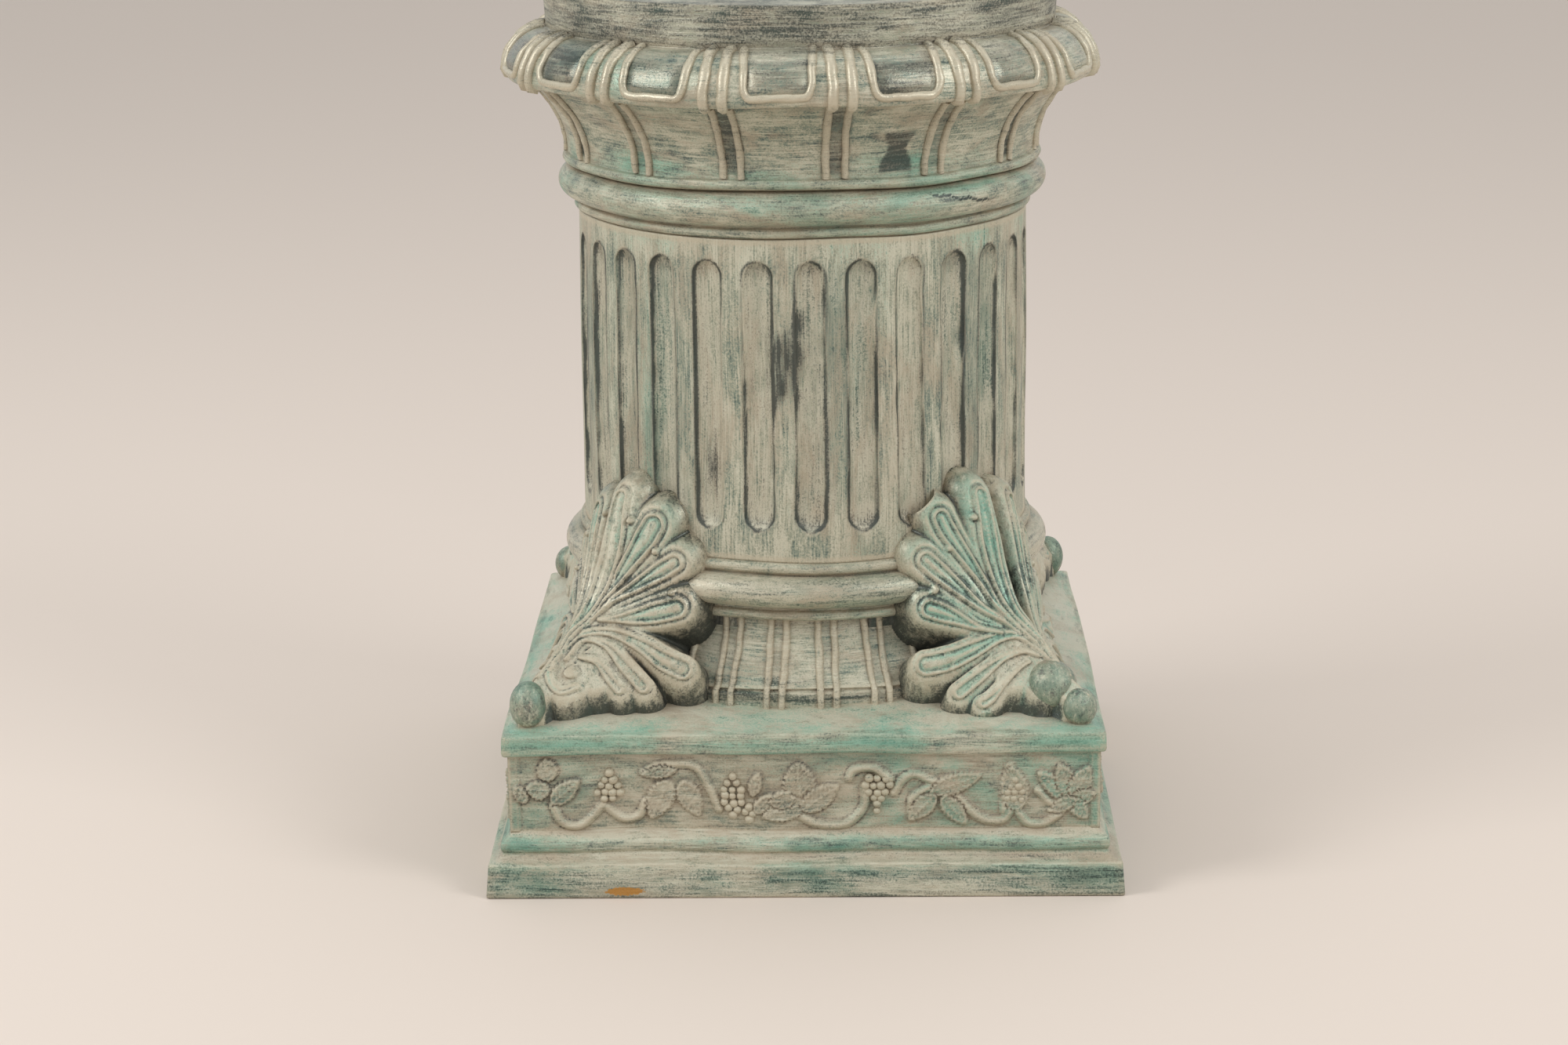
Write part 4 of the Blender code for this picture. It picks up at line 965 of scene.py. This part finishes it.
def buildToes():
    # the worn roll at the end of each leaf, and the ball on two of them
    rings, sides = toe["rings"], toe["sides"]
    polar, spin = np.meshgrid(np.linspace(0, np.pi, rings)[1:-1], np.arange(sides) * 2 * np.pi / sides,
                              indexing="ij")
    unit = np.stack([np.sin(polar) * np.cos(spin), np.sin(polar) * np.sin(spin),
                     np.cos(polar)], -1).reshape(-1, 3)
    unit = np.vstack([unit, [[0, 0, 1], [0, 0, -1]]])
    top, last = (rings - 2) * sides, (rings - 3) * sides
    shell = [face[::-1] for face in gridFaces(rings - 2, sides, True)]
    shell += [[i, (i + 1) % sides, top] for i in range(sides)]
    shell += [[(i + 1) % sides + last, i + last, top + 1] for i in range(sides)]
    points, faces = [], []
    for turn, kind in ((-45, "scrolled"), (45, "balled"), (135, "scrolled"), (225, "balled")):
        for (inset, aside, up), size in toe[kind]:
            faces += [[index + len(points) * len(unit) for index in face] for face in shell]
            centre = np.array([cornerReach - inset, aside, body["slabEdge"] + up])
            points.append(cornerTurned(unit * np.array(size) + centre, turn))
    return meshPiece("toeRolls", np.vstack(points).tolist(), faces, dabbedBronze)


# ---- surface marks kept on the vertices: hollows, ridges, where paint, dirt and bare bronze gather, and where shade and a highlight are painted

levels = [0, 22, 26, 30, 38, 42, 46, 96, 98, 112, 120, 131,
          170, 190, 208, 216, 300, 420, 440, 455, 470, 500, 529, 560, 593]
# heights in millimetres, and how much of it there is at each
byHeight = {
    "green": (levels, [.60, .70, 0, .7, .7, 0, .40, .40, .9, .75, .35, .35,
                       .2, .5, .2, .15, .15, .2, .45, .3, .45, .3, .15, .15, .25]),
    "dirt": (levels, [0, 0, .9, .2, .1, .8, .45, .45, .1, 0, .3, .3,
                      .2, .1, .3, .3, .1, .1, .2, .1, .2, .2, .1, .2, .1]),
    "stainAndShade": ([0, 20, 23.3, 29, 31, 38, 40, 120, 184, 190, 205, 210, 560, 566, 593],
              [.25, .26, 0, 0, .07, .07, 0, 0, 0, .14, .14, 0, 0, .28, .30]),
    "pale": ([0, 23, 30, 97, 112, 113, 122, 140, 184, 190, 205, 210, 560, 567, 593],
             [1.0, .8, .15, .1, .35, 1.4, 1.3, .4, .3, .9, .9, .3, .2, 1.1, 1.1]),
    "wax": ([0, 186, 190, 205, 210, 446, 450, 466, 472, 528, 534, 560, 566],
            [0, 0, .8, .8, 0, 0, .5, .5, 0, 0, 1, 1, 0]),
}
# soft oval patches: azimuth and height of the middle, half width in degrees, half height in mm, amount
patches = {
    "bellGreen": [(-36, 486, 12, 9, 0.55), (30, 488, 9, 7, 0.45), (-12, 482, 6, 5, 0.35),
                  (44, 470, 12, 6, 0.5)],
    "shaftRubs": [(-4, 350, 6, 34, 0.12), (-23, 281, 2.2, 16, 0.30)],
    "rubCount": 22,
}
# millimetres that count as a full ridge or hollow, and rounds of smoothing it is measured against
marking = {
    "flutedShaft": (0.9, 6), "plinthBlock": (0.5, 3), "roundBase": (0.5, 3), "capitalAndDrum": (0.5, 3),
    "friezeFront": (0.62, 6), "friezeRight": (0.62, 6), "friezeBack": (0.62, 6), "friezeLeft": (0.62, 6),
    "friezeBerries": (1.2, 6), "toeRolls": (4.0, 6), "other": (0.3, 6),
}
# a slow hand-made unevenness, the same field for every piece, so that they stay together
hand = {
    "amount": 0.0006, "fade": 0.02,
    "waves": [(31, 17, 12, 0.3), (-19, 29, 23, 1.9), (13, -27, 41, 4.1), (47, 37, -19, 2.2)],
}


def putMark(piece, name, values):
    layer = piece.data.attributes.get(name) or piece.data.attributes.new(name, "FLOAT", "POINT")
    layer.data.foreach_set("value", np.asarray(values, np.float32))


def getMark(piece, name):
    values = np.empty(len(piece.data.vertices), np.float32)
    piece.data.attributes[name].data.foreach_get("value", values)
    return values


def pointsOf(piece):
    points = np.empty(len(piece.data.vertices) * 3, np.float32)
    piece.data.vertices.foreach_get("co", points)
    return points.reshape(-1, 3).astype(float)


def handWork(piece):
    points = pointsOf(piece)
    moved = np.zeros_like(points)
    for axis in range(3):
        for number, (a, b, c, start) in enumerate(hand["waves"]):
            along = points @ np.array([a, b, c]) * (1 + 0.17 * axis)
            moved[:, axis] += np.sin(along + start + 1.7 * axis) / (1 + number)
    fade = band(points[:, 2], 0.0, hand["fade"], body["top"] - hand["fade"], body["top"])
    points += moved * hand["amount"] * fade[:, None]
    piece.data.vertices.foreach_set("co", points.astype(np.float32).ravel())
    piece.data.update()


def markSurface(piece, full, rounds):
    mesh = piece.data
    points = pointsOf(piece)
    normals = np.empty(len(points) * 3, np.float32)
    mesh.vertices.foreach_get("normal", normals)
    edges = np.empty(len(mesh.edges) * 2, np.int32)
    mesh.edges.foreach_get("vertices", edges)
    first, last = edges.reshape(-1, 2).T
    total = np.bincount(first, minlength=len(points)) + np.bincount(last, minlength=len(points))
    soft = points.copy()
    for _ in range(rounds):
        near = np.stack([np.bincount(first, soft[last, k], len(points))
                         + np.bincount(last, soft[first, k], len(points)) for k in range(3)], -1)
        soft = 0.5 * soft + 0.5 * near / np.maximum(total, 1)[:, None]
    stand = ((points - soft) * normals.reshape(-1, 3)).sum(1) * 1000
    putMark(piece, "ridge", np.clip(stand / full, 0, 1))
    putMark(piece, "hollow", np.clip(-stand / full, 0, 1))


def patchSum(azimuth, z, table):
    return sum(amount * np.exp(-((azimuth - a) / wide) ** 2 - ((z - h) / tall) ** 2)
               for a, h, wide, tall, amount in table)


def shaftStain(azimuth, z):
    # dark edges along the flutes, more on some than others, and the rubbed patches; also what is in a flute
    size = flutes["sizes"]
    pitch = 360 / flutes["counts"]["Flutes"]
    which = np.round((azimuth - size["Turn"]) / pitch)
    aside = np.radians(azimuth - size["Turn"] - which * pitch) * size["Radius"]
    half = size["Flute Width"] / 2
    low = size["Floor"] + size["Bottom Margin"] + half
    high = size["Floor"] + size["Height"] - size["Top Margin"] - half
    end = np.maximum(np.maximum(low - z / 1000, z / 1000 - high), 0)
    edge = np.hypot(aside, end) - half
    side = np.sign(aside)
    some = 0.55 + 0.45 * np.sin(which * 2.7 + side * 1.9 + z / 37 + 1.5 * np.sin(which + z / 61))
    fillet = 0.5 + 0.5 * np.sin((which + side * 0.5) * 2.1 + 0.8)
    inFlute = smooth(0.0, -0.002, edge)
    stainAndShade = (0.24 + 0.38 * some) * np.exp(-(edge / 0.0011) ** 2) + 0.04 * inFlute - 0.03
    stainAndShade = stainAndShade + 0.15 * fillet * smooth(0.0, 0.0015, edge) * band(z, 230, 260, 405, 425)
    rubbed = np.random.default_rng(11)
    rubs = list(patches["shaftRubs"])
    for _ in range(patches["rubCount"]):
        rubs.append((rubbed.normal(-4.2, 2.6), rubbed.normal(352, 15), rubbed.uniform(0.5, 1.3),
                     rubbed.uniform(4, 12), rubbed.uniform(0.10, 0.27)))
    return stainAndShade + patchSum(azimuth, z, rubs), inFlute


def capitalStain(azimuth, z, radius):
    # the dark hourglass on the bell, the crack in the round moulding, between the ribs, and the framed panels
    waist = 4.6 - 1.8 * np.exp(-((z - 497) / 7) ** 2)
    stainAndShade = 0.40 * smooth(0, 1.0, waist - np.abs(azimuth - 22.8)) * smooth(0, 3, 15 - np.abs(z - 494.5))
    crack = (464 - 0.52 * np.clip(azimuth - 32, 0, 20) + 0.7 * np.sin(azimuth * 1.1)
             + 0.4 * np.sin(azimuth * 3.7))
    stainAndShade = stainAndShade + 0.9 * np.exp(-((z - crack) / 0.8) ** 2) * band(azimuth, 30, 33, 46, 50)
    pitch = 360 / capital["pairs"]
    aside = np.abs(wrapped(azimuth, capital["turn"], pitch))
    some = 0.7 + 0.3 * np.sin(azimuth / 9 + 2.0)
    stainAndShade = stainAndShade + 0.42 * some * smooth(11.0, 8.6, np.radians(aside) * radius) * band(z, 478, 484, 526, 530)
    edge = capital["panelHalf"] * 1000
    onPanel = smooth(edge - 3, edge - 7, np.radians(pitch / 2 - aside) * radius)
    return stainAndShade + (0.25 + 0.08 * np.sin(azimuth / 13)) * band(z, 534, 539, 556, 566) * onPanel


def gather(piece):
    # how much turquoise, dirt and bare bronze each height and place has, and where shade and a highlight are
    # painted in
    x, y, z = pointsOf(piece).T * 1000
    azimuth = np.degrees(np.arctan2(x, -y))
    radius = np.hypot(x, y)
    corner = getMark(piece, "hollow")
    marks = {key: np.interp(z, *table) for key, table in byHeight.items()}
    marks["pale"] += 0.35 * band(z, 23, 25, 29, 31) + 0.9 * band(z, 37, 39, 43, 46)
    if piece.name.startswith("leaf"):
        del marks["green"]
        # the rolled-over walls are painted darker and less pale as shade under the lobes, more so lower down;
        # tan dirt and wax gather there too
        fold = getMark(piece, "fold")
        low = smooth(215, 185, z)
        marks["dirt"] += 0.22 * corner + (0.60 - 0.35 * low) * fold
        marks["stainAndShade"] += (0.18 + 0.26 * low) * fold - 0.11 * corner
        marks["pale"] += 0.38 - (0.60 + 0.5 * low) * fold
        marks["wax"] += smooth(180, 240, z) * fold
    if piece.name == "toeRolls":
        marks["green"][:], marks["pale"][:] = 0.75, 0.0
        marks["stainAndShade"] += 0.16
        marks["dirt"] += 0.12
        marks["wax"] += 0.4
    if piece.name.startswith("frieze"):
        # dabs of pale paint on the ground, tan dirt round the motifs, more turquoise towards the right end
        marks["dirt"] += 0.42 * corner
        marks["stainAndShade"] -= 0.18 * corner
        along = wrapped(azimuth, 0, 90)
        dabs = np.sin(along * 0.39 + 2 * np.sin(z * 0.2)) * np.sin(z * 0.23 + 1.5 * np.sin(along * 0.24))
        marks["pale"] = 0.22 + np.clip(dabs, 0, 1)
        some = 0.50 + 0.26 * np.sin(along * 0.7 + z * 0.16)
        marks["green"] = 0.30 + some * smooth(2, 34, along) - 0.3 * corner
    if piece.name in ("cushionRibs", "cushionFrames"):
        marks["pale"] += 0.6
    if piece.name in ("skirtRibs", "bellRibs"):
        marks["dirt"] += 0.22
        marks["stainAndShade"] += 0.10
    if piece.name == "roundBase":
        beside = np.radians(np.abs(wrapped(azimuth, ribs["skirtTurn"], 360 / ribs["skirtPairs"]))) * radius
        marks["stainAndShade"] += 0.30 * band(z, 121, 123, 129, 131)
        marks["stainAndShade"] += 0.10 * smooth(10.5, 8.0, beside) * band(z, 128, 134, 172, 178)
    if piece.name == "flutedShaft":
        stainAndShade, inFlute = shaftStain(azimuth, z)
        marks["stainAndShade"] += stainAndShade
        marks["dirt"] += 0.20 * inFlute
        # paler in the flutes, and over their lower ends a painted highlight at the bottom of each scoop
        marks["pale"] += inFlute * (0.45 + 0.9 * smooth(262, 238, z)) + 0.35 * smooth(418, 428, z)
    if piece.name == "capitalAndDrum":
        marks["green"] += patchSum(azimuth, z, patches["bellGreen"])
        marks["stainAndShade"] += capitalStain(azimuth, z, radius)
    for key, values in marks.items():
        putMark(piece, key, values)


pieces = [buildPlinth()] + buildFrieze() + [buildBerries()]
print("stage: plinth and frieze")
pieces += [buildRoundBase(), buildCapital(), buildShaft()] + buildRibs()
print("stage: column")
for leafName, leafTurn, leafLean, leafGrid, leafGreen in (
        ("leafFrontLeft", -45, 1, leaf["front"], 0.0), ("leafFrontRight", 45, -1, leaf["front"], 0.36),
        ("leafBackRight", 135, 1, leaf["back"], 0.0), ("leafBackLeft", 225, -1, leaf["back"], 0.36)):
    pieces.append(buildLeaf(leafName, leafTurn, leafLean, leafGrid, leafGreen))
pieces.append(buildToes())
print("stage: leaves")
for piece in pieces:
    piece.data.shade_smooth()
    handWork(piece)
    markSurface(piece, *marking.get(piece.name, marking["other"]))
    gather(piece)
    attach(piece, "root")
    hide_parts("pedestal_column")
    print("piece", piece.name, sum(len(p.vertices) - 2 for p in piece.data.polygons), "triangles")

# ---- floor, light and camera

studio = {
    "floor": "#d8ccc1", "floorRoughness": 0.8, "floorSize": 30.0, "worldTone": "#ffffff", "worldLight": 0.70,
    "aim": 0.3, "boxes": [   # azimuth, elevation, distance, side and watts
        ("softboxLeft", -66, 34, 3.4, 1.3, 44), ("softboxRight", 56, 32, 3.4, 1.3, 36),
        ("softboxTop", 180, 80, 3.6, 2.4, 18)],
    # the photograph's camera, fitted to the plinth and the mouldings: place in plinth widths, then degrees
    "focal": 77.97, "sensor": 36, "cameraAt": (-0.036, -5.485, 1.922),
    "yaw": 1.14, "down": 14.773, "roll": -0.70,
}


def buildStage():
    size = studio["floorSize"] / 2
    plain = bpy.data.materials.new("pale_matt_floor")
    plain.use_nodes = True
    shader = plain.node_tree.nodes["Principled BSDF"]
    shader.inputs["Base Color"].default_value = linear(studio["floor"])
    shader.inputs["Roughness"].default_value = studio["floorRoughness"]
    corners = [(-size, -size, 0), (size, -size, 0), (size, size, 0), (-size, size, 0)]
    meshPiece("studioFloor", corners, [(0, 1, 2, 3)], plain)
    world = bpy.data.worlds.new("softStudio")
    world.use_nodes = True
    sky = world.node_tree.nodes["Background"]
    sky.inputs["Color"].default_value = linear(studio["worldTone"])
    sky.inputs["Strength"].default_value = studio["worldLight"]
    bpy.context.scene.world = world
    aim = Vector((0, 0, studio["aim"]))
    for name, azimuth, elevation, distance, side, power in studio["boxes"]:
        lamp = bpy.data.lights.new(name, "AREA")
        lamp.shape, lamp.size, lamp.energy = "SQUARE", side, power
        up = math.radians(elevation)
        spot = Vector(ringPoint(np.array(azimuth), distance * math.cos(up), distance * math.sin(up))) + aim
        light = bpy.data.objects.new(name, lamp)
        light.location = spot
        light.rotation_euler = (aim - spot).to_track_quat("-Z", "Y").to_euler()
        bpy.context.scene.collection.objects.link(light)
    seen = bpy.data.cameras.new("photoCamera")
    seen.lens, seen.sensor_width = studio["focal"], studio["sensor"]
    camera = bpy.data.objects.new("photoCamera", seen)
    camera.matrix_world = (Matrix.Rotation(math.radians(studio["yaw"]), 4, "Z")
                           @ Matrix.Translation(Vector(studio["cameraAt"]) * 2 * body["baseHalf"])
                           @ Matrix.Rotation(math.radians(90 - studio["down"]), 4, "X")
                           @ Matrix.Rotation(math.radians(studio["roll"]), 4, "Z"))
    bpy.context.scene.collection.objects.link(camera)
    bpy.context.scene.camera = camera
    bpy.context.scene.view_settings.view_transform = "Standard"


buildStage()
print("stage: floor, light and camera")
